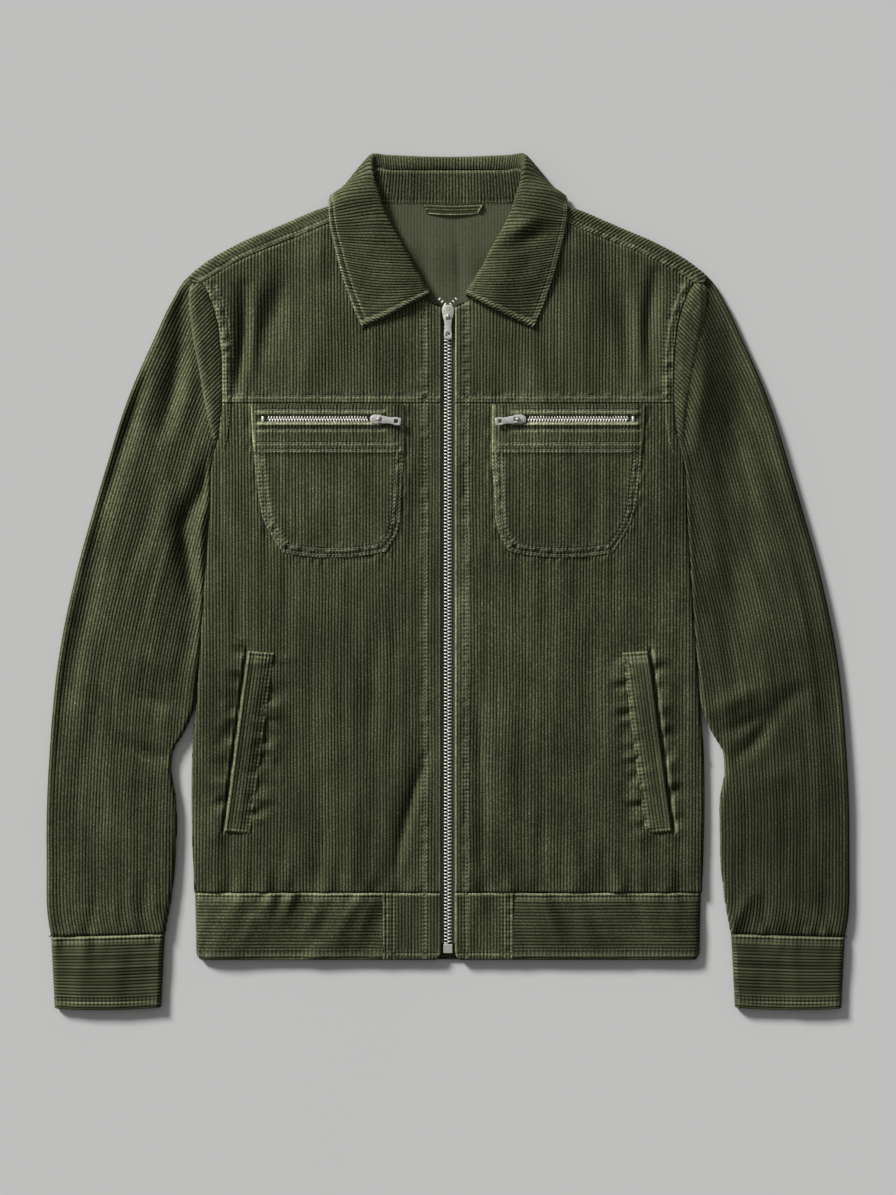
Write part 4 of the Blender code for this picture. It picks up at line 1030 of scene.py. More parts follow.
def add_front_lower(side, finish):
    low_y, high_y = HEM_SEAM_Y + 0.2, YOKE_Y - 0.2

    def place(a, y):
        face = front_face(side, a, y)
        x = face.x
        z = face.z
        for share, spacing, height in ((-0.14, 6.4, 2.0), (1.2, 8.6, 2.6)):
            z = z + puckers(welt_side(share), x, y, spacing, 10, height, 41 + side)
        z = z - 3.2 * hump(nearest(welt_side(1.07), x, y)[1], 1.7)
        z = z + puckers([(0, low_y), (240, low_y)], x, y, 11, 16, 1.8, 51 + side)
        z = z - rounding(y - low_y, 1.8) * 1.1 - 0.4 * ease((y - high_y + 1.5) / 1.2)
        pocket = np.abs(pocket_inset(x, y) + 2.5)
        z = z + 0.8 * drift(x, y, 4, 6, 57 + side) * hump(pocket, 4.0)
        beside_welt = hump(nearest(welt_side(1.2), x, y)[1], 1.3)
        return face._replace(z=z, worn=np.maximum(face.worn, 0.7 * beside_welt))

    marks = rows(low_y, high_y, 5.6, [(low_y, low_y + 3, 0.8), (low_y, -50, 3.3),
                                      (16, 150, 3.2), (high_y - 3, high_y, 0.8)])
    patch = woven(place, wales(-9.0, 227.0), marks, side, seed=60 + side)
    add_cloth(sided("front_lower_cloth", side), [patch], finish,
              [sided("front_lower", side)])


def shoulder_route(offset):
    """A line beside the shoulder seam, offset up the shoulder."""
    return [(place.x, place.y + offset) for place in SHOULDER_SEAM]


def armhole_route(inset):
    """A line this far inside the armhole's seam."""
    return [(float(body_edge(y)) - inset, y) for y in np.linspace(116, 266, 14)]


def add_front_upper(side, finish):
    low_y = YOKE_Y + 0.2
    routes = [YOKE_ROUTE, armhole_route(2.6), armhole_route(8.4)]

    def place(a, y):
        away, _ = folded(a, EDGE_RADIUS)
        top = front_top(np.minimum(FRONT_EDGE_X + away, 221.4)) - 0.2
        inside_top = y <= top
        y = np.minimum(y, top)
        face = front_face(side, a, y, routes)
        x = face.x
        inset = body_edge(y) - x
        at_armhole = ease((y - ARMHOLE_LOW_Y) / 8)
        z = face.z + puckers(YOKE_ROUTE, x, y, 5, 3.5, 0.6, 71 + side)
        z = z + puckers(armhole_route(5.6), x, y, 4.8, 5.0, 1.3, 73 + side)
        z = z + 0.6 - 1.2 * rounding(y - low_y, 1.3) - 0.6 * rounding(top - y, 1.6)
        z = z - 0.8 * hump(inset, 1.0) * at_armhole
        worn = np.maximum.reduce([face.worn, hump(y - low_y - 0.8, 1.2),
                                  0.9 * hump(inset - 1.6, 1.0) * at_armhole])
        return face._replace(y=y, z=z, inside=face.inside & inside_top, worn=worn)

    marks = rows(low_y, 332.0, 1.8, [(low_y, low_y + 9, 0.6)])
    patch = woven(place, wales(-9.0, 217.0), marks, side, seed=80 + side)
    add_cloth(sided("front_upper_cloth", side), [patch], finish,
              [sided("front_upper", side)])


def shoulder_wrap(side):
    """The back panel where it turns over the shoulder and comes down to the front seam."""
    radius = BODY_HEIGHT / 2
    normal = np.array([math.sin(SHOULDER_SLANT), math.cos(SHOULDER_SLANT)])
    along_share, out_share = -math.sin(SHOULDER_SLANT), math.cos(SHOULDER_SLANT)
    tip = SHOULDER_TIP_X + 6

    def place(a, reach):
        fold_x = a + along_share * out_share * reach
        fold_x = np.clip(fold_x, SHOULDER_NECK_X - 8, tip)
        out = out_share * reach
        angle = np.clip(out / radius, -math.pi / 2, math.pi)
        beyond = np.maximum(out - math.pi * radius, 0)
        outward = radius * np.sin(angle) - beyond
        x = fold_x + normal[0] * (outward - radius)
        y = places(SHOULDER_FOLD, fold_x) - 0.9 * np.maximum(fold_x - SHOULDER_FOLD[-1].x, 0)
        y = y + normal[1] * (outward - radius)
        seam = places(SHOULDER_SEAM, np.clip(x, SHOULDER_NECK_X, SHOULDER_SEAM[-1].x)) + 0.2
        over = (angle > 1.6) & (y < seam)
        y = np.where(over, seam, y)
        z = collar_lift(side * x, y) + radius * (1 - np.cos(angle))
        face = front_height(side * x, y)
        z = np.where(angle >= math.pi - 0.01, mix(z, face, 0.7), z)
        inset = np.maximum(y - seam, 0)
        on_top = angle > 2.0
        sewn = stitched([shoulder_route(5.4)], x, y)
        z = z + 0.6 - np.where(on_top, 0.8 * rounding(inset, 1.4) - sewn.drop, 0)
        z = z + np.where(on_top, puckers(shoulder_route(2.7), x, y, 4.5, 3.5, 0.7, 88 + side), 0)
        worn = np.where(on_top, np.maximum(sewn.worn, hump(inset - 0.8, 1.2)), 0)
        return Face(x, y, z, ~over, worn=worn, run=sewn.run, near=sewn.near * on_top)

    return woven(place, wales(SHOULDER_NECK_X - 4, tip + 8), rows(0.0, 40.0, 0.9),
                 side, turned=True, seed=90 + side)


def add_back(finish, inside_finish):
    """The back's outer face, which lies on the surface below, and the inside seen in the neck."""
    low_y = HEM_SEAM_Y + 0.2

    def place(x, y):
        neck = places(SHOULDER_FOLD, SHOULDER_NECK_X) - 4
        curve = NECK_Y + (neck - NECK_Y) * ease((np.abs(x) - 50) / 34)
        shoulder = places(SHOULDER_FOLD, np.abs(x) + 2) - 4.2
        top = np.where(np.abs(x) < SHOULDER_NECK_X, curve, shoulder)
        inside_top = y <= top
        y = np.minimum(y, top)
        edge = np.where(y > 270, SHOULDER_TIP_X - 3, body_edge(y))
        inside = (np.abs(x) <= edge) & inside_top
        x = np.clip(x, -edge, edge)
        inset = np.maximum(edge - np.abs(x), 0)
        roll = rounding(inset, SIDE_RADIUS) * below_arm(y)
        return Face(x, y, OUTSIDE_LIFT + collar_lift(x, y) + roll, inside)

    across = wales(-231.0, 231.0, PITCH / 2, -214, 214)
    marks = rows(low_y, 344.0, 14.0, [(low_y, low_y + 4, 1.0), (262, 344, 7.0)])
    patch = woven(place, across, marks, turned=True, seed=95)
    add_cloth("back_cloth", [patch, shoulder_wrap(-1), shoulder_wrap(1)], finish,
              ["back"])

    def inner(x, y):
        wave = 0.9 * drift(x, y, 18, 60, 97) * ease((330 - y) / 30)
        wave = wave + creases(INNER_CREASES, x, y)
        return Face(x, y, collar_lift(x, y) + WALL + wave, left=0.0)

    cells = np.linspace(-94, 94, 90)
    inner_face = woven(inner, (cells, np.zeros_like(cells)), rows(120.0, NECK_Y + 0.6, 3.0),
                       seed=96)
    add_cloth("back_inner_face", [inner_face], inside_finish, [],
              rim=0)


# Sleeves and cuffs -------------------------------------------------------------------------

def sleeve_outer(y):
    """x of the sleeve's outer edge."""
    ordered = SLEEVE_OUTER[::-1]
    return cubic([place.y for place in ordered], [place.x for place in ordered], y)


def sleeve_inner(y):
    """x of the sleeve's inner edge, which follows the body's side down to where it is free."""
    table = [Knot(place.y, place.x) for place in SLEEVE_INNER[::-1]]
    table += [Knot(y_at, float(body_edge(y_at)) + SLEEVE_CLEARANCE)
              for y_at in np.linspace(SLEEVE_FREE_Y, ARMHOLE_HIGH_Y, 34)]
    return knots(table, y)


def sleeve_end(x):
    """y of the sleeve's end, where the cuff is sewn on."""
    low, high = SLEEVE_END
    return mix(low.y, high.y, np.clip((x - low.x) / (high.x - low.x), 0, 1))


def sleeve_folds(side, x, y, away, inset):
    """The sleeve's folds, fading out towards its edges and its head."""
    depth = ease(away / 8) * ease(inset / 5) * ease((SLEEVE_TOP_Y - y) / 20)
    folds = (creases(SLEEVE_CREASES, side * x, y) + streaks(away, y, 103 + side)) * depth
    folds = folds - 2.0 * hump(x - knots(HEAD_FOLD, y) - 3, 9) * ease((y - 150) / 60)
    return folds + puckers(CUFF_SEAM, x, y, 7, 13, 1.3, 105 + side)


def add_sleeve(side, finish):
    def place(reach, down):
        y = SLEEVE_TOP_Y - down
        outer, inner = sleeve_outer(y), sleeve_inner(y)
        lean = np.gradient(sleeve_outer(SLEEVE_TOP_Y - down[:, 0]), down[:, 0])[:, None]
        stretch = np.sqrt(1 + np.minimum(lean, 0.8) ** 2)
        away, rise = folded(reach, SLEEVE_RADIUS)
        x = outer - away * stretch - wander(away, y, 100 + side) * ease(away / 25)
        inside = (x >= inner) & (outer - inner > 1.0)
        x = np.maximum(x, np.minimum(inner, outer))
        end = sleeve_end(x)
        inside = inside & (y >= end)
        y = np.maximum(y, end)
        inset = np.maximum(x - inner, 0)
        free = ease((UNDERARM_Y + 6 - y) / 22)
        inner_drop = rounding(inset, SLEEVE_RADIUS) * free * mix(0.4, 1.0, apart(y))
        z = SLEEVE_RADIUS + np.sign(rise) * np.maximum(np.abs(rise) - inner_drop, 0)
        edge_drop = rounding(y - end, 1.8) + 1.1 * hump(inset, 1.3) * (1 - free)
        folds = sleeve_folds(side, x, y, away, inset)
        z = z + np.where(reach > 0, 0.3 + folds - edge_drop,
                         OUTSIDE_LIFT * (np.abs(rise) / SLEEVE_RADIUS))
        return Face(x, y, z, inside)

    marks = rows(0.0, SLEEVE_LENGTH, ROW, [(0, 30, 2.0), (370, 450, 3.2), (560, 599, 2.2)])
    patch = woven(place, wales(-152.0, 152.0, 0.0, -14), marks, side, seed=110 + side)
    # Painted shade: the right sleeve's colour is darkened.
    patch.seam[..., 2] -= RIGHT_SLEEVE_PAINTED_SHADE * (side > 0)
    add_cloth(sided("sleeve_cloth", side), [patch, sleeve_head(side)], finish,
              [sided("sleeve", side)])


def sleeve_head(side):
    """The fold of the sleeve's head beside the armhole, its wales at a slant."""
    sine, cosine = math.sin(HEAD_SLANT), math.cos(HEAD_SLANT)

    def place(a, l):
        x = HEAD_MIDDLE[0] + a * sine + l * cosine
        y = np.clip(HEAD_MIDDLE[1] + a * cosine - l * sine, 113, 275)
        seam = body_edge(y) + 0.4
        edge = knots(HEAD_FOLD, y)
        inside = (x >= seam) & (x <= edge) & (y > 113.5) & (y < 274.5)
        x = np.clip(x, seam, np.maximum(edge, seam))
        rise = 1.9 * ease((edge - x) / 7) * ease((edge - seam) / 8)
        rise = rise * mix(0.4, 1.0, ease((x - seam) / 8))
        z = BODY_HEIGHT + 0.2 + rise - rounding(edge - x, 1.6)
        z = z - 0.6 * hump(x - seam, 1.0) - 1.2 * ease((128 - y) / 14)
        z = z + 0.6 * drift(x, y, 14, 40, 120 + side) - 2.5 * ease((y - 262) / 12)
        left = ease((edge - x) / 2.2) * ease((x - seam + 0.6) / 2.2)
        return Face(x, y, z, inside, left, 0.4 * hump(edge - x - 0.8, 1.6))

    return woven(place, wales(-92.0, 92.0), rows(-92.0, 92.0, 1.4), side, turned=True,
                 seed=122 + side)


def round_tube(share, width, radius):
    """The section of a flattened tube, at this share of the way round it: from the inner edge
    over the top to the outer edge and back. Gives the place across it and the normal there."""
    flat = width - 2 * radius
    turn = math.pi * radius
    reach = share * (2 * flat + 2 * turn)
    parts = [reach < flat, reach < flat + turn, reach < 2 * flat + turn]
    outer_turn = (reach - flat) / radius
    inner_turn = (reach - 2 * flat - turn) / radius
    normal_x = np.select(parts, [0.0, np.sin(outer_turn), 0.0], -np.sin(inner_turn))
    normal_z = np.select(parts, [1.0, np.cos(outer_turn), -1.0], -np.cos(inner_turn))
    centre = np.select(parts, [reach, flat, 2 * flat + turn - reach], 0.0)
    return radius + centre + radius * normal_x, normal_x, normal_z


def add_cuff(side, finish):
    top_in, top_out = np.array(CUFF_TOP)
    hem_in, hem_out = np.array(CUFF_HEM)
    lines = [[(top_in[0], top_in[1] - 4), (top_out[0], top_out[1] - 4)],
             [(hem_in[0], hem_in[1] + 6), (hem_out[0], hem_out[1] + 6)]]

    def place(a, around):
        """a is the reach up from the opening's fold, around the share of the way round."""
        away, fold_rise = folded(a, DOUBLE / 2)
        offset = fold_rise - DOUBLE / 2
        share = np.clip(away / CUFF_HEIGHT, 0, 1)
        inner = mix(hem_in[0], top_in[0], share)
        width = mix(hem_out[0], top_out[0], share) - inner
        across, normal_x, level = round_tube(around, width, CUFF_RADIUS)
        x = inner + across + normal_x * offset
        z = CUFF_RADIUS + level * (CUFF_RADIUS + offset)
        u = np.clip((x - inner) / width, 0, 1)
        y = mix(mix(hem_in[1], hem_out[1], u), mix(top_in[1], top_out[1], u), away / CUFF_HEIGHT)
        y = y - CUFF_BULGE * (1 - share) * 4 * u * (1 - u)
        upper = np.maximum(level, 0) * ease(a / 2)
        folds = (puckers(CUFF_SEAM, x, y, 9, 20, 1.5, 130 + side)
                 + 0.9 * drift(x, y, 15, 60, 133 + side) + 0.5 * drift(x, y, 34, 20, 134 + side))
        sewn = stitched(lines, x, y)
        below_top = CUFF_HEIGHT - away
        z = z + upper * (folds + sewn.drop - rounding(below_top, 1.4))
        worn = np.maximum(sewn.worn, hump(below_top - 0.9, 1.2)) * upper
        return Face(x, y, z, worn=worn, run=sewn.run, near=sewn.near * upper)

    patch = woven(place, wales(-16.0, CUFF_HEIGHT + 0.9), np.linspace(0, 1, 100), side,
                  turned=True, seed=135 + side)
    add_cloth(sided("cuff_cloth", side), [patch], finish, [sided("cuff", side)],
              rim=0)


# Hem ---------------------------------------------------------------------------------------

def band_edge(y):
    """Half the width of the hem band, rounded at its lower corner."""
    corner = np.clip((HEM_Y + 8 - y) / 8, 0, 1)
    return HEM_SIDE_X + (y - HEM_Y) * 0.02 - 5 * (1 - np.sqrt(1 - corner**2))


def band_height(x, y):
    """Face of the hem band's front."""
    inset = np.maximum(band_edge(y) - np.abs(x), 0)
    roll = SIDE_PUFF * np.clip(1 - inset / SIDE_ROLL, 0, 1) ** 2 + rounding(inset, SIDE_RADIUS)
    return BODY_HEIGHT + 0.2 - roll


def hem_fold(a):
    """y and rise of a hem's cloth at the reach a up from its fold."""
    away, rise = folded(a, DOUBLE / 2)
    return HEM_Y + away, rise - DOUBLE / 2


def hem_side(a, y):
    """Where the band ends at its side, at the reach a up from its fold."""
    return band_edge(y) - 4.5 * (1 - ease((a + 3) / 3))


def add_hem_front(side, finish):
    seam = [(HEM_TAB_X, BAND_TOP_Y), (230, BAND_TOP_Y)]
    lines = [[(HEM_TAB_X, HEM_STITCH_Y), (226, HEM_STITCH_Y)],
             [(HEM_TAB_X, BAND_TOP_Y - 4), (227, BAND_TOP_Y - 4)]]

    def place(a, x):
        y, rise = hem_fold(a)
        edge = hem_side(a, y)
        inside = (x <= edge) & (y <= BAND_TOP_Y + 0.01)
        x = np.minimum(x, edge)
        outer = ease(a / 3)
        folds = (puckers(seam, x + 0.35 * (y - BAND_TOP_Y), y, 9, 26, 2.0, 141 + side)
                 + 2.0 * drift(x + 0.4 * y, y, 15, 60, 143 + side) * ease((230 - x) / 12))
        sewn = stitched(lines, x, y)
        below_top = BAND_TOP_Y - y
        z = band_height(x, y) + rise + (folds + sewn.drop - rounding(below_top, 1.2)) * outer
        worn = np.maximum(sewn.worn, hump(below_top - 0.8, 1.2)) * outer
        return Face(x, y, z, inside, worn=worn, run=sewn.run, near=sewn.near * outer)

    patch = woven(place, wales(-16.0, BAND_REACH), rows(HEM_TAB_X + 0.2, 229.0, 2.2), side,
                  turned=True, seed=145 + side)
    add_cloth(sided("hem_cloth", side), [patch], finish,
              [sided("hem_band_front", side)])


def add_hem_tab(side, finish):
    upright = [[(HEM_TAB_X - inset, HEM_Y), (HEM_TAB_X - inset, BAND_TOP_Y)] for inset in (3, 9)]
    lines = [front_edge_route(side), [(9, HEM_STITCH_Y), (58, HEM_STITCH_Y)], *upright]

    def place(x, l):
        y, rise = hem_fold(l)
        corner = np.clip((HEM_Y + 9 - y) / 9, 0, 1)
        inner = FRONT_EDGE_X + 6 * (1 - np.sqrt(1 - corner**2))
        inside = x >= inner
        x = np.maximum(x, inner)
        outer = ease(l / 3)
        sewn = stitched(lines, x, y)
        below_top, from_side = BAND_TOP_Y - y, HEM_TAB_X - x
        folds = 0.7 * drift(x, y, 14, 40, 151 + side) + puckers(upright[0], x, y, 4.6, 5, 0.6, 153)
        z = band_height(x, y) + rise + outer * (sewn.drop + folds - rounding(below_top, 1.2))
        z = z + ease(l / 2) * (0.4 - rounding(x - inner, 1.4) - 0.8 * rounding(from_side, 1.2))
        worn = np.maximum.reduce([sewn.worn, hump(below_top - 0.8, 1.2), hump(x - inner, 1.2),
                                  hump(from_side - 0.6, 1.0)]) * outer
        return Face(x, y, z, inside, worn=worn, run=sewn.run, near=sewn.near * outer)

    marks = rows(-14.0, BAND_REACH, 2.4, [(-3, 9, 0.7), (BAND_REACH - 6, BAND_REACH, 0.9)])
    patch = woven(place, wales(FRONT_EDGE_X, HEM_TAB_X - 0.2, FRONT_EDGE_X), marks, side,
                  seed=155 + side)
    add_cloth(sided("hem_tab_cloth", side), [patch], finish,
              [sided("hem_tab", side)])


def add_hem_back(finish):
    def place(a, x):
        y, rise = hem_fold(a)
        edge = hem_side(a, y)
        inside = np.abs(x) <= edge
        x = np.clip(x, -edge, edge)
        inset = np.maximum(edge - np.abs(x), 0)
        return Face(x, y, OUTSIDE_LIFT + rounding(inset, SIDE_RADIUS) - rise, inside)

    marks = rows(-228.0, 228.0, 8.0, [(-228, -220, 1.5), (220, 228, 1.5)])
    patch = woven(place, wales(-16.0, BAND_REACH), marks, seed=158)
    add_cloth("hem_cloth_back", [patch], finish, ["hem_band_back"])


# Pockets -----------------------------------------------------------------------------------

def pocket_low(x):
    """y of the chest pocket's lower edge, which dips in its middle."""
    middle, reach = POCKET_DIP_X
    return POCKET_LOW_Y - POCKET_HEM_DIP * np.clip(1 - ((x - middle) / reach) ** 2, 0, 1)


def pocket_inset(x, y):
    """Distance inside the chest pocket's outline, negative outside it."""
    inset = np.minimum(knots(POCKET_OUTER, y) - x, x - knots(POCKET_INNER, y))
    return np.minimum(inset, y - pocket_low(x))


def pocket_route(inset):
    """A line this far inside the sides and the bottom of the pocket, from the outer top."""
    outer = [(float(knots(POCKET_OUTER, y)) - inset, y) for y in np.linspace(116, 42, 8)]
    inner = [(float(knots(POCKET_INNER, y)) + inset, y) for y in np.linspace(42, 116, 8)]
    low = [(x, float(pocket_low(x)) + 1 + inset)
           for x in np.linspace(149 - inset * 0.6, 57 + inset * 0.6, 9)]
    return outer + low + inner


def pocket_lines():
    """The straight rows of stitches: above and below the zip, and the pair under it."""
    spans = [(58, 172, 154.4), (58, 172, 136.6), (46, 172, 124.7), (44, 171, 118.4)]
    return [[(x0, y), (x1, y)] for x0, x1, y in spans]


def pocket_lift(x, y):
    """Height of the pocket's cloth above the front: low at its sewn edges."""
    inset = np.maximum(pocket_inset(x, y), 0)
    return GAP + WALL * (0.42 + 0.58 * ease((inset - 1) / 9)) + 0.9 * ease((y - 113.5) / 3)


def welt_lift(a):
    """Height of the welt above the front, at a from its inner edge, where it is sewn flat."""
    return GAP + DOUBLE * (0.3 + 0.56 * ease((a - 1) / 11))


def add_chest_pocket(side, finish):
    top_y = YOKE_Y - 1.2
    routes = [*(pocket_route(inset) for inset in POCKET_STITCH_INSETS), *pocket_lines()]

    def place(x, y):
        inner, outer, low = knots(POCKET_INNER, y), knots(POCKET_OUTER, y), pocket_low(x)
        inside = (x >= inner) & (x <= outer) & (y >= low)
        x = np.clip(x, inner, outer)
        y = np.maximum(y, low)
        inset = np.maximum(pocket_inset(x, y), 0)
        from_zip = np.abs(y - POCKET_ZIP_Y)
        in_zip = (x > POCKET_ZIP_INNER_X) & (x < POCKET_ZIP_OUTER_X)
        near_zip = ease((x - 55) / 5) * ease((174 - x) / 5)
        sewn = stitched(routes, x, y, 0.85)
        z = front_height(side * x, y) + pocket_lift(x, y) + sewn.drop - rounding(inset, 1.1)
        z = z + puckers(pocket_route(4.5), x, y, 4.2, 4, 1.1, 161 + side)
        lip = np.abs(from_zip - POCKET_ZIP_SLOT - 1.6)
        z = z + 1.1 * hump(lip, 1.6) * near_zip
        z = z - 1.2 * rounding(np.maximum(from_zip - POCKET_ZIP_SLOT, 0), 1.1) * near_zip
        worn = np.maximum.reduce([sewn.worn, hump(inset - 0.6, 1.2),
                                  hump(from_zip - POCKET_ZIP_SLOT - 0.5, 1.0) * near_zip])
        inside = inside & ~((from_zip < POCKET_ZIP_SLOT) & in_zip)
        return Face(x, y, z, inside, worn=worn, run=sewn.run, near=sewn.near)

    slot = (POCKET_ZIP_Y - POCKET_ZIP_SLOT, POCKET_ZIP_Y + POCKET_ZIP_SLOT)
    marks = rows(20.0, top_y, 2.2, [(20, 42, 1.1), (115, 128, 0.8), (133, slot[0], 0.7),
                                    (slot[0], slot[1] + 0.1, POCKET_ZIP_SLOT * 2),
                                    (slot[1], top_y, 0.7)])
    patch = woven(place, wales(38.0, 178.5, FRONT_EDGE_X), marks, side, seed=165 + side)
    add_cloth(sided("chest_pocket_cloth", side), [patch], finish,
              [sided("chest_pocket", side)])


def add_side_welt(side, finish):
    width, length = WELT_WIDTH, WELT_LENGTH
    lines = [[(1.8, 0), (1.8, length)]]
    lines += [[(0, l), (width, l)] for l in (3.4, length - 3.4, length - 7.4)]
    top, hem = (np.array(ends)[..., None, None] for ends in (WELT_TOP, WELT_HEM))

    def place(a, l):
        x, y = mix(mix(*hem, a / width), mix(*top, a / width), l / length)
        inset = np.maximum(np.minimum(np.minimum(a, width - a), np.minimum(l, length - l)), 0)
        sewn = stitched(lines, a, l)
        z = front_height(side * x, y) + welt_lift(a) - rounding(inset, 1.2) + sewn.drop
        z = z + puckers([(0, 0), (0, length)], a, l, 4.6, 9, 1.2, 171 + side)
        z = z + 0.9 * hump(width - 2.2 - a, 1.8)
        worn = np.maximum(sewn.worn, 0.5 * hump(inset - 0.6, 1.2))
        return Face(x, y, z, worn=worn, run=sewn.run, near=sewn.near)

    marks = rows(0.0, length, 2.2, [(0, 5, 0.7), (length - 5, length, 0.7)])
    patch = woven(place, wales(0.0, width), marks, side, seed=175 + side)
    add_cloth(sided("side_welt_cloth", side), [patch], finish,
              [sided("side_welt", side)])


# Collar ------------------------------------------------------------------------------------

def smooth_lines(table, by):
    """Reads a collar table as smooth lines: at(reach) gives the stations there, where reach
    is the distance from the middle of the back along the line numbered by."""
    stations = np.array(table, float)
    reach = reaches(stations[:, by])

    def at(where):
        return np.array([np.stack([cubic(reach, stations[:, line, axis], where)
                                   for axis in range(3)], axis=-1)
                         for line in range(stations.shape[1])])

    return at, reach[-1]


def collar_sheet(table, by, reach, shares):
    """Points of a collar piece's middle, for reaches from the centre back (negative at -X)
    and shares of the way from its seam to its free edge."""
    at, _ = smooth_lines(table, by)
    lines = np.moveaxis(at(np.abs(reach)), 0, -2)
    steps = np.linalg.norm(np.diff(lines, axis=-2), axis=-1)
    knots_at = np.concatenate([np.zeros(reach.shape + (1,)), np.cumsum(steps, axis=-1)], axis=-1)
    knots_at /= knots_at[..., -1:]
    count = lines.shape[-2]
    slopes = np.zeros_like(lines)
    wide = knots_at[..., 2:] - knots_at[..., :-2]
    slopes[..., 1:-1, :] = (lines[..., 2:, :] - lines[..., :-2, :]) / wide[..., None]
    for here, other in ((0, 1), (count - 1, count - 2)):
        gap = knots_at[..., other] - knots_at[..., here]
        slopes[..., here, :] = (lines[..., other, :] - lines[..., here, :]) / gap[..., None]
    found = np.zeros(reach.shape + (3,))
    for cell in range(count - 1):
        low, high = knots_at[..., cell], knots_at[..., cell + 1]
        t = np.clip((shares - low) / (high - low), 0, 1)[..., None]
        value = hermite(t, (high - low)[..., None],
                        (lines[..., cell, :], lines[..., cell + 1, :]),
                        (slopes[..., cell, :], slopes[..., cell + 1, :]))
        found = np.where((shares >= low)[..., None], value, found)
    found[..., 0] *= np.where(reach < 0, -1, 1)
    return found


def fall_layer(signed, away, offset):
    """Points of one layer of the fall, at this offset from its middle: signed is the reach from
    the centre back, and away the distance from the free edge."""
    def at(reach, shares):
        return collar_sheet(FALL, FALL_MIDDLE_LINE, reach, shares)

    shares = np.clip(1 - away / FALL_WIDTH, 0, 1)
    middle = at(signed, shares)
    ahead = at(signed, np.clip(shares - 0.02, 0, 1))
    upward = np.cross(ahead - middle, at(signed + 1.5, shares) - at(signed - 1.5, shares))
    size = np.linalg.norm(upward, axis=-1, keepdims=True)
    upward = np.where(size > 1e-6, upward / np.maximum(size, 1e-6), [0.0, 0.0, 1.0])
    return np.moveaxis(middle + upward * offset[..., None], -1, 0)


def add_collar_fall(finish):
    """Both layers of the fall: the one seen, from the seam over the roll to the free edge, and
    back underneath it."""
    _, half_length = smooth_lines(FALL, FALL_MIDDLE_LINE)
    along = rows(-FALL_WIDTH, FALL_WIDTH, 2.4, [(-3, 9.5, 0.8)])
    along = along[(along > -3) | (np.arange(len(along)) % 3 == 0)]

    def place(a, l):
        away, rise = folded(l, COLLAR_WALL / 2)
        leaf = ease((np.abs(a) - half_length + 110) / 90)
        reach = np.abs(a) + LEAF_SHEAR * (away - 40) * leaf
        inside = reach <= half_length
        reach = np.minimum(reach, half_length)
        edge = half_length - reach
        closed = np.minimum(edge / 2.2, (FALL_WIDTH - np.abs(l)) / 1.5)
        thin = np.sqrt(np.clip(1 - np.clip(1 - closed, 0, 1) ** 2, 0, 1))
        x, y, z = fall_layer(np.where(a < 0, -reach, reach), away, rise * thin)
        top = ease(l / 2)
        near_edge = 6.2 - away
        twist = l + 0.8 * edge
        rope = np.sin(twist * 2 * math.pi / ROPE_PITCH + 2 * drift(l, edge, 12, 9, 183))
        on_rope = hump(edge - 3, 2.6)
        lift = creases(COLLAR_CREASES, x, y) + 0.7 * drift(a, l, 30, 30, 181)
        lift = lift + 2.4 * hump(away - 54, 21) * leaf
        lift = lift - 0.6 * hump(near_edge, 0.9) * ease((edge - 5) / 2)
        lift = lift - 0.5 * hump(edge - 6.6, 1.0)
        lift = lift + (1.2 + 0.5 * rope) * on_rope
        lift = lift + 0.4 * drift(a, l, 4.4, 9, 185) * hump(away - 3, 4)
        z = np.maximum(z + lift * top * ease((z - 4) / 4), 0.5)
        # Painted highlight on the folded edge and on the rope's raised twists, with rubbed pile.
        worn = np.maximum.reduce([hump(away - 1.0, 1.4), 0.7 * hump(near_edge + 1.4, 0.9),
                                  0.8 * on_rope * (0.5 + 0.5 * rope)]) * top
        beside = edge < 7.5
        run = np.where(beside, twist * STITCH_PITCH / ROPE_PITCH, a)
        near = np.where(beside, 1.6 * np.exp(-(((edge - 3) / 2.6) ** 4)),
                        hump(near_edge, PUCKER_REACH)) * top
        return Face(x, y, z, inside, 1 - 0.6 * hump(edge, 4), worn, run, near)

    marks = wales(-half_length - 26, half_length + 26, PITCH / 2)
    patch = woven(place, marks, along, turned=True, seed=187)
    add_cloth("collar_fall_cloth", [patch], finish, ["collar_fall"],
              rim=0.8)


def add_collar_stand(finish):
    _, half_length = smooth_lines(STAND, 0)

    def place(a, l):
        x, y, z = np.moveaxis(collar_sheet(STAND, 0, a, l / STAND_HEIGHT), -1, 0)
        below_top = STAND_HEIGHT - l
        z = z + WALL / 2 - 0.8 * hump(l, 1.4) - 0.3 * ease((1.5 - below_top) / 1.5)
        z = z - 0.5 * hump(l - 3.4, 0.9) + 0.5 * drift(a, l, 26, 30, 192)
        worn = np.maximum(0.6 * hump(l - 1.2, 1.0), 0.8 * hump(below_top - 1, 1.0))
        return Face(x, y, z, worn=worn, run=a, near=hump(l - 3.4, 3.0))

    patch = woven(place, wales(-half_length, half_length, PITCH / 2), rows(0, STAND_HEIGHT, 1.6),
                  seed=191)
    add_cloth("collar_stand_cloth", [patch], finish,
              ["collar_stand"])


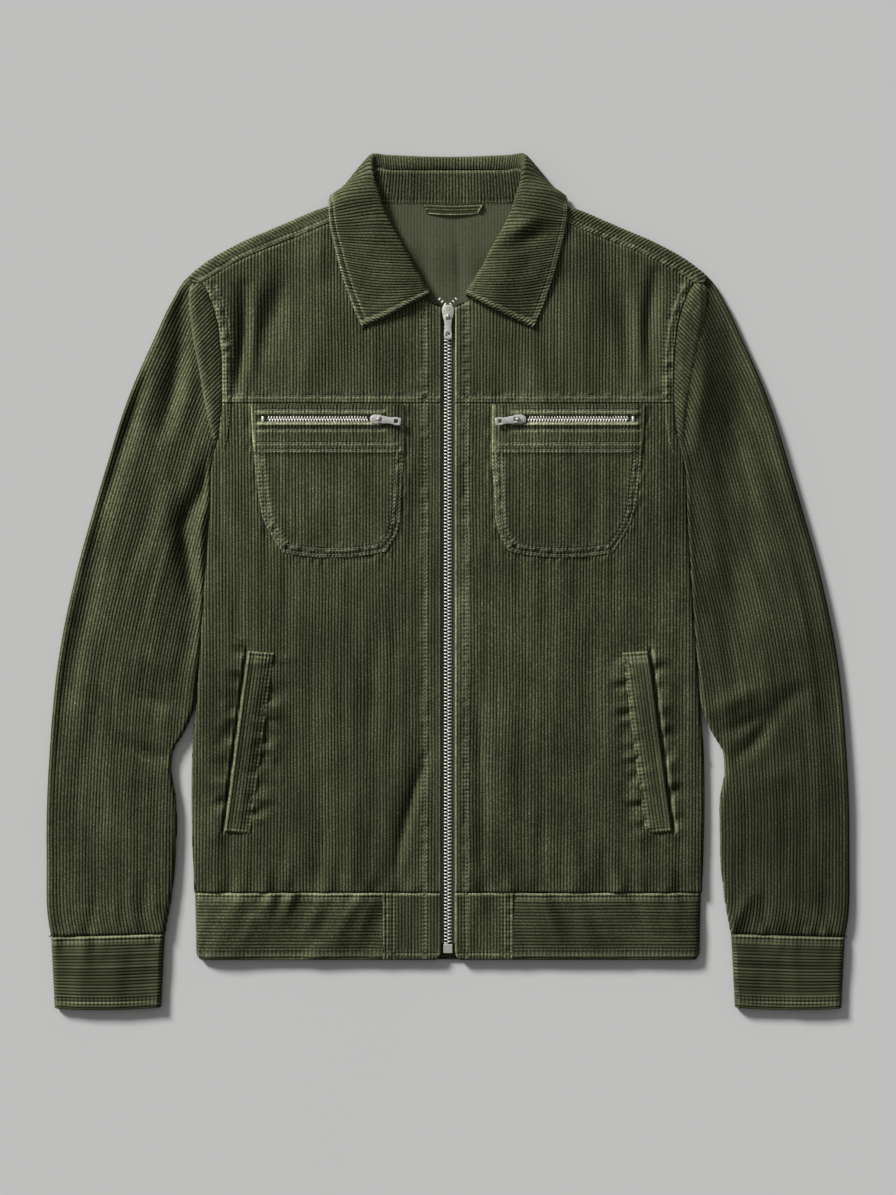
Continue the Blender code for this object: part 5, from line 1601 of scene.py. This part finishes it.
def add_hanger_loop(finish):
    """A narrow folded strip sewn in at its ends, with wales along it."""
    left, right = LOOP_X

    def place(a, l):
        share = (l - left) / (right - left)
        slant = (a / LOOP_WIDTH) * 5.0
        x = mix(left + slant, right - slant, share)
        y = LOOP_Y + 3.2 - a - 1.4 * 4 * share * (1 - share)
        arch = 1.8 * np.sin(math.pi * np.clip(share, 0, 1)) ** 0.6
        inset = np.minimum(a, LOOP_WIDTH - a)
        z = collar_lift(x, y) + WALL + 1.7 + arch - rounding(inset, 1.6)
        ends = np.minimum(l - left, right - l)
        return Face(x, y, z, worn=np.maximum(hump(inset - 0.5, 1.0), hump(ends, 1.5)))

    patch = woven(place, wales(0.0, LOOP_WIDTH, -0.6), rows(left, right, 2.0), turned=True,
                  seed=195, height=0.7)
    add_cloth("hanger_loop_cloth", [patch], finish, ["hanger_loop"],
              rim=1.5)


# Metal -------------------------------------------------------------------------------------

def joined_blocks(name, blocks, finish, replaced, bevel):
    """One mesh of many small blocks with rounded edges. Each is (centre, half sizes, turn)."""
    corners = np.array([(x, y, z) for x in (-1, 1) for y in (-1, 1) for z in (-1, 1)], float)
    quads = np.array([(0, 1, 3, 2), (4, 6, 7, 5), (0, 4, 5, 1), (2, 3, 7, 6), (0, 2, 6, 4),
                      (1, 5, 7, 3)])
    points, faces = [], []
    for number, (centre, half, turn) in enumerate(blocks):
        local = corners * np.array(half)
        c, s = math.cos(turn), math.sin(turn)
        turned = np.stack([local[:, 0] * c - local[:, 1] * s, local[:, 0] * s + local[:, 1] * c,
                           local[:, 2]], axis=-1)
        points.append(turned + np.array(centre))
        faces.append(quads + len(corners) * number)
    made = new_mesh(name, np.concatenate(points), np.concatenate(faces))
    rounded = made.modifiers.new("Rounded", "BEVEL")
    rounded.width = bevel * MM
    rounded.segments = 1
    belongs(made, finish, [replaced])


def add_main_teeth(finish):
    """Two rows of teeth that interlock, and open above the slider."""
    low_y, high_y = MAIN_TEETH_Y
    blocks = []
    for number in range(int((high_y - low_y) / MAIN_TOOTH_PITCH)):
        for side in (-1, 1):
            y = low_y + MAIN_TOOTH_PITCH * (number + 0.5 * (side > 0))
            blocks.append(((side * 1.4, y, 5.8), (1.8, 0.62, 1.2), side * 0.16))
            blocks.append(((side * 3.0, y, 5.2), (0.6, 0.85, 1.0), side * 0.16))
    for side in (-1, 1):
        for number in range(3):
            x, y = 2.6 + 2.5 * number, 249.6 + 2.3 * number
            blocks.append(((side * x, y, 6.6), (1.5, 0.7, 1.1), side * -0.8))
    joined_blocks("main_zip_teeth", blocks, finish, "main_zip_chain", 0.3)


def add_chest_teeth(side, finish):
    """Two rows of teeth and the stop at their outer end."""
    start, end = CHEST_TEETH_X
    blocks = []
    for number in range(int((end - start) / CHEST_TOOTH_PITCH)):
        for row in (-1, 1):
            x = start + CHEST_TOOTH_PITCH * (number + 0.5 * (row > 0))
            y = POCKET_ZIP_Y + row * 1.35
            z = float(front_height(side * x, y)) + 2.3
            blocks.append(((side * x, y, z), (0.62, 1.85, 0.9), side * row * 0.22))
    z = float(front_height(side * (end + 2.0), POCKET_ZIP_Y)) + 2.4
    blocks.append(((side * (end + 1.9), POCKET_ZIP_Y, z), (1.1, 2.7, 1.0), 0.0))
    joined_blocks(sided("chest_zip_teeth", side), blocks, finish, sided("chest_zip", side), 0.22)


def add_chest_tape(side, finish):
    """The tape that the teeth are set on, seen in the pocket's slot."""
    def place(a, l):
        return Face(a, l, front_height(side * a, l) + 1.3, left=0.0)

    cells = np.linspace(POCKET_ZIP_INNER_X - 3, POCKET_ZIP_OUTER_X + 3, 30)
    patch = woven(place, (cells, np.zeros_like(cells)),
                  rows(POCKET_ZIP_Y - 6, POCKET_ZIP_Y + 6, 1.5), side)
    add_cloth(sided("chest_zip_tape", side), [patch], finish, [],
              rim=0)


def rounded_outline(corners, radius, steps=4):
    """A closed outline through these corners, with each of them rounded off."""
    points = []
    for number, here in enumerate(np.array(corners, float)):
        ends = []
        for other in (corners[number - 1], corners[(number + 1) % len(corners)]):
            away = np.array(other) - here
            ends.append(here + away * min(radius / np.linalg.norm(away), 0.5))
        for t in np.linspace(0, 1, steps + 1):
            points.append((1 - t) ** 2 * ends[0] + 2 * t * (1 - t) * here + t * t * ends[1])
    return points


def arc(radius, start, stop, steps, x=0.0, y=0.0):
    """Points of an arc about x, y between two angles."""
    return [(x + radius * math.cos(turn), y + radius * math.sin(turn))
            for turn in np.linspace(start, stop, steps)]


def circle(x, y, radius, steps=14):
    return arc(radius, 0, 2 * math.pi, steps + 1, x, y)[:-1]


def plate(outlines, thickness, bevel=0.25):
    """The mesh of a flat plate on the plane z = 0. The first outline is its edge, the others
    are holes."""
    curve = bpy.data.curves.new("plate", "CURVE")
    curve.dimensions = "2D"
    curve.fill_mode = "BOTH"
    curve.extrude = (thickness / 2 - bevel) * MM
    curve.bevel_depth = bevel * MM
    curve.bevel_resolution = 2
    curve.offset = -bevel * MM
    for outline in outlines:
        spline = curve.splines.new("POLY")
        spline.points.add(len(outline) - 1)
        for point, (x, y) in zip(spline.points, outline):
            point.co = (x * MM, y * MM, 0, 1)
        spline.use_cyclic_u = True
    holder = bpy.data.objects.new("plate", curve)
    mesh = bpy.data.meshes.new_from_object(holder)
    bpy.data.objects.remove(holder)
    return mesh


def joined_plates(name, plates, transform, finish, body, replaced):
    """One piece of plates, each a mesh with its own place, and all of them then placed."""
    whole = bmesh.new()
    for mesh, place in plates:
        mesh.transform(transform @ place)
        whole.from_mesh(mesh)
        bpy.data.meshes.remove(mesh)
    bmesh.ops.remove_doubles(whole, verts=whole.verts, dist=0.01 * MM)
    mesh = bpy.data.meshes.new(name)
    whole.to_mesh(mesh)
    whole.free()
    mesh.shade_smooth()
    mesh.set_sharp_from_angle(angle=math.radians(50))
    belongs(new_object(name, mesh), finish, [replaced], body)


def lifted(height):
    """A move up."""
    return Matrix.Translation((0, 0, height * MM))


def slider_plates(size):
    """A slider round its bar, which lies on X at the origin, its wide end at +Y: two plates
    with the post between them, a ring on the nose, and the bail over the bar."""
    wide, narrow, ahead = size.wide_end / 2, size.narrow_end / 2, size.length - BEHIND_BAR
    outline = rounded_outline([(-narrow, -BEHIND_BAR), (narrow, -BEHIND_BAR),
                               (wide, ahead - 4.2), (wide - 2.0, ahead), (2 - wide, ahead),
                               (-wide, ahead - 4.2)], 1.8)
    top = -ABOVE_SLIDER
    plates = [(plate([outline], 1.3, 0.35), lifted(top - 0.65)),
              (plate([outline], 1.0), lifted(top - size.depth + 0.5)),
              (plate([circle(0, ahead / 2, 1.6)], size.depth - 1.0), lifted(top - size.depth / 2)),
              (plate([circle(0, ahead - 3.0, 1.7), circle(0, ahead - 3.0, 0.9)], 0.6, 0.15),
               lifted(top))]
    foot = top - 0.4
    bail = [(BAIL_OUTER, foot), *arc(BAIL_OUTER, 0, math.pi, 9), (-BAIL_OUTER, foot),
            (-BAIL_INNER, foot), *arc(BAIL_INNER, math.pi, 0, 9), (BAIL_INNER, foot)]
    upright = Matrix(((0, 0, 1, 0), (1, 0, 0, 0), (0, 1, 0, 0), (0, 0, 0, 1)))
    return plates + [(plate([bail], BAIL_WIDTH, 0.2), upright)]


def pull_plates():
    """The pull tab lying towards -Y: a waisted plate with an eye for the bail and another."""
    half = [(3.4, 0.9), (3.5, -5.0), (2.9, -8.5), (2.9, -12.0), (3.7, -15.5), (3.3, -20.4)]
    outline = rounded_outline(half + [(-x, y) for x, y in half[::-1]], 1.1)
    eyes = [rounded_outline([(-PULL_EYE, far), (PULL_EYE, far), (PULL_EYE, near),
                             (-PULL_EYE, near)], 0.5, 2) for near, far in PULL_EYES]
    return [(plate([outline, *eyes], PULL_WALL, 0.3), Matrix.Identity(4))]


def add_zip_pull(slider, pull, size, spot, turn, droop, finish):
    """A slider, which stays with the jacket, and its pull tab, which turns about the bar."""
    place = Matrix.Translation(Vector(spot) * MM) @ Matrix.Rotation(turn, 4, "Z")
    joined_plates(f"{slider}_metal", slider_plates(size), place, finish, "jacket", slider)
    place = place @ Matrix.Rotation(droop, 4, "Z")
    joined_plates(f"{pull}_metal", pull_plates(), place, finish, pull, pull)


# Thread ------------------------------------------------------------------------------------

def stitches(route, height):
    """Both ends of each stitch along a route, on the cloth of this height."""
    start = reaches(route)
    step = THREAD_LENGTH + THREAD_GAP
    pieces = []
    for number in range(int(start[-1] / step)):
        ends = []
        for reach in (number * step, number * step + THREAD_LENGTH):
            x = np.interp(reach, start, [point[0] for point in route])
            y = np.interp(reach, start, [point[1] for point in route])
            ends.append(np.array([x, y, height(x, y)]))
        pieces.append(ends)
    return pieces


def thread_mesh(name, pieces, finish):
    """All stitches as one mesh: each a spindle of five rings with four points, drawn into the
    cloth at its ends."""
    shares = np.array([0.0, 0.18, 0.5, 0.82, 1.0])
    widths = np.array([0.25, 0.9, 1.0, 0.9, 0.25])
    lifts = np.array([-0.5, 0.25, 0.45, 0.25, -0.5])
    angles = np.array([0.0, 0.5, 1.0, 1.5]) * math.pi
    sides = np.array([(ring * 4 + i, ring * 4 + (i + 1) % 4, ring * 4 + 4 + (i + 1) % 4,
                       ring * 4 + 4 + i) for ring in range(4) for i in range(4)])
    points, faces = [], []
    for number, (start, end) in enumerate(pieces):
        along = (end - start) / max(np.linalg.norm(end - start), 1e-6)
        across = np.cross(along, [0, 0, 1.0])
        up = np.cross(across, along)
        ring = (np.cos(angles)[:, None] * across + np.sin(angles)[:, None] * up) * THREAD_RADIUS
        centres = start + (end - start) * shares[:, None] + up * (lifts * THREAD_RADIUS)[:, None]
        points.append((centres[:, None] + ring * widths[:, None, None]).reshape(-1, 3))
        faces.append(sides + len(shares) * len(angles) * number)
    belongs(new_mesh(name, np.concatenate(points), np.concatenate(faces)), finish)


def add_stitching(finish):
    """The threads that show on the front edges, the yokes, the armholes and the pockets."""
    def on_front(x, y):
        return float(front_height(x, y)) + 0.15

    def on_yoke(x, y):
        return float(front_height(x, y)) + 0.6

    def on_pocket(x, y):
        return float(front_height(x, y) + pocket_lift(abs(x), y)) + 0.25

    pieces = []
    for side in (-1, 1):
        routes = [(front_edge_route(side), on_front), (YOKE_ROUTE, on_yoke),
                  (armhole_route(7.6), on_front)]
        routes += [(pocket_route(inset), on_pocket) for inset in POCKET_STITCH_INSETS]
        routes += [(route, on_pocket) for route in pocket_lines()]
        for route, height in routes:
            pieces += stitches([(side * x, y) for x, y in route], height)
    thread_mesh("stitching", pieces, finish)


# Stage -------------------------------------------------------------------------------------

def add_floor():
    """A wide grey floor under the jacket."""
    mesh = bpy.data.meshes.new("floor")
    corners = [(x * FLOOR_HALF, y * FLOOR_HALF, 0)
               for x, y in ((-1, -1), (1, -1), (1, 1), (-1, 1))]
    mesh.from_pydata(corners, [], [(0, 1, 2, 3)])
    floor = new_object("floor", mesh)
    made, tree, shader = new_material("floor", Roughness=0.95, Specular_IOR_Level=0.1)
    grain = noise(tree, object_place(tree), 3.0, 2.0)
    colour = mix_colour(tree, grain, (0.49, 0.49, 0.485), (0.51, 0.51, 0.505))
    feed(tree, shader.inputs["Base Color"], colour)
    floor.data.materials.append(made)
    floor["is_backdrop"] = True


def add_lights():
    """A low soft light from the top left, and a paler sky on that side."""
    key = bpy.data.lights.new("key", "SUN")
    key.energy = KEY_STRENGTH
    key.angle = math.radians(KEY_SPREAD)
    elevation, azimuth = math.radians(KEY_ELEVATION), math.radians(KEY_AZIMUTH)
    source = Vector((math.cos(elevation) * math.cos(azimuth),
                     math.cos(elevation) * math.sin(azimuth), math.sin(elevation)))
    made = new_object("key", key)
    made.location = source * 3
    made.rotation_euler = (-source).to_track_quat("-Z", "Y").to_euler()
    world = bpy.data.worlds.new("studio")
    world.use_nodes = True
    tree = world.node_tree
    direction = tree.nodes.new("ShaderNodeTexCoord").outputs["Generated"]
    facing = dot_product(tree, direction, source)
    background = tree.nodes["Background"].inputs
    background["Color"].default_value = (1.0, 1.0, 1.0, 1.0)
    feed(tree, background["Strength"], spread_range(tree, facing, -0.9, 1.0, *SKY_STRENGTHS))
    bpy.context.scene.world = world


def add_camera():
    """Straight above the jacket."""
    camera = bpy.data.cameras.new("camera")
    camera.lens = 85.0
    camera.sensor_width = 36.0
    made = new_object("camera", camera)
    distance = FRAME_HEIGHT * camera.lens / camera.sensor_width
    made.location = (0.0, FRAME_MIDDLE_Y, distance + JACKET_TOP)
    bpy.context.scene.camera = made


def main():
    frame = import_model()
    cad_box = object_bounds()
    bpy.context.scene.view_settings.view_transform = "Standard"
    add_camera()
    add_lights()
    add_floor()

    cloth = corduroy("corduroy", *CLOTH_COLOURS)
    trim = corduroy("corduroy_trim", *TRIM_COLOURS)
    metal = nickel("zip_nickel", (0.60, 0.59, 0.55), 0.52)
    teeth = nickel("zip_teeth_nickel", (0.74, 0.72, 0.67), 0.50)
    tape = woven_tape()

    add_back(cloth, reverse_cloth())
    for side in (-1, 1):
        add_front_lower(side, cloth)
        add_front_upper(side, cloth)
        add_sleeve(side, cloth)
        add_cuff(side, trim)
        add_hem_front(side, trim)
        add_hem_tab(side, trim)
        add_chest_pocket(side, cloth)
        add_side_welt(side, trim)
        add_chest_teeth(side, teeth)
        add_chest_tape(side, tape)
        x, y, z = CHEST_BAR
        add_zip_pull(sided("chest_slider", side), sided("chest_pull", side), CHEST_SLIDER,
                     (side * x, y, z), -side * math.pi / 2, side * CHEST_DROOP, metal)
    add_hem_back(trim)
    add_collar_stand(cloth)
    add_collar_fall(cloth)
    add_hanger_loop(trim)
    add_main_teeth(teeth)
    add_zip_pull("main_slider", "main_pull", MAIN_SLIDER, MAIN_BAR, 0.0, 0.0, metal)
    add_stitching(thread_material())

    for name, node in frame["nodes"].items():
        if not node.hide_render:
            node.data.materials.clear()
            node.data.materials.append(tape if "tape" in name else metal)
    return cad_box


cad_low, cad_high = main()
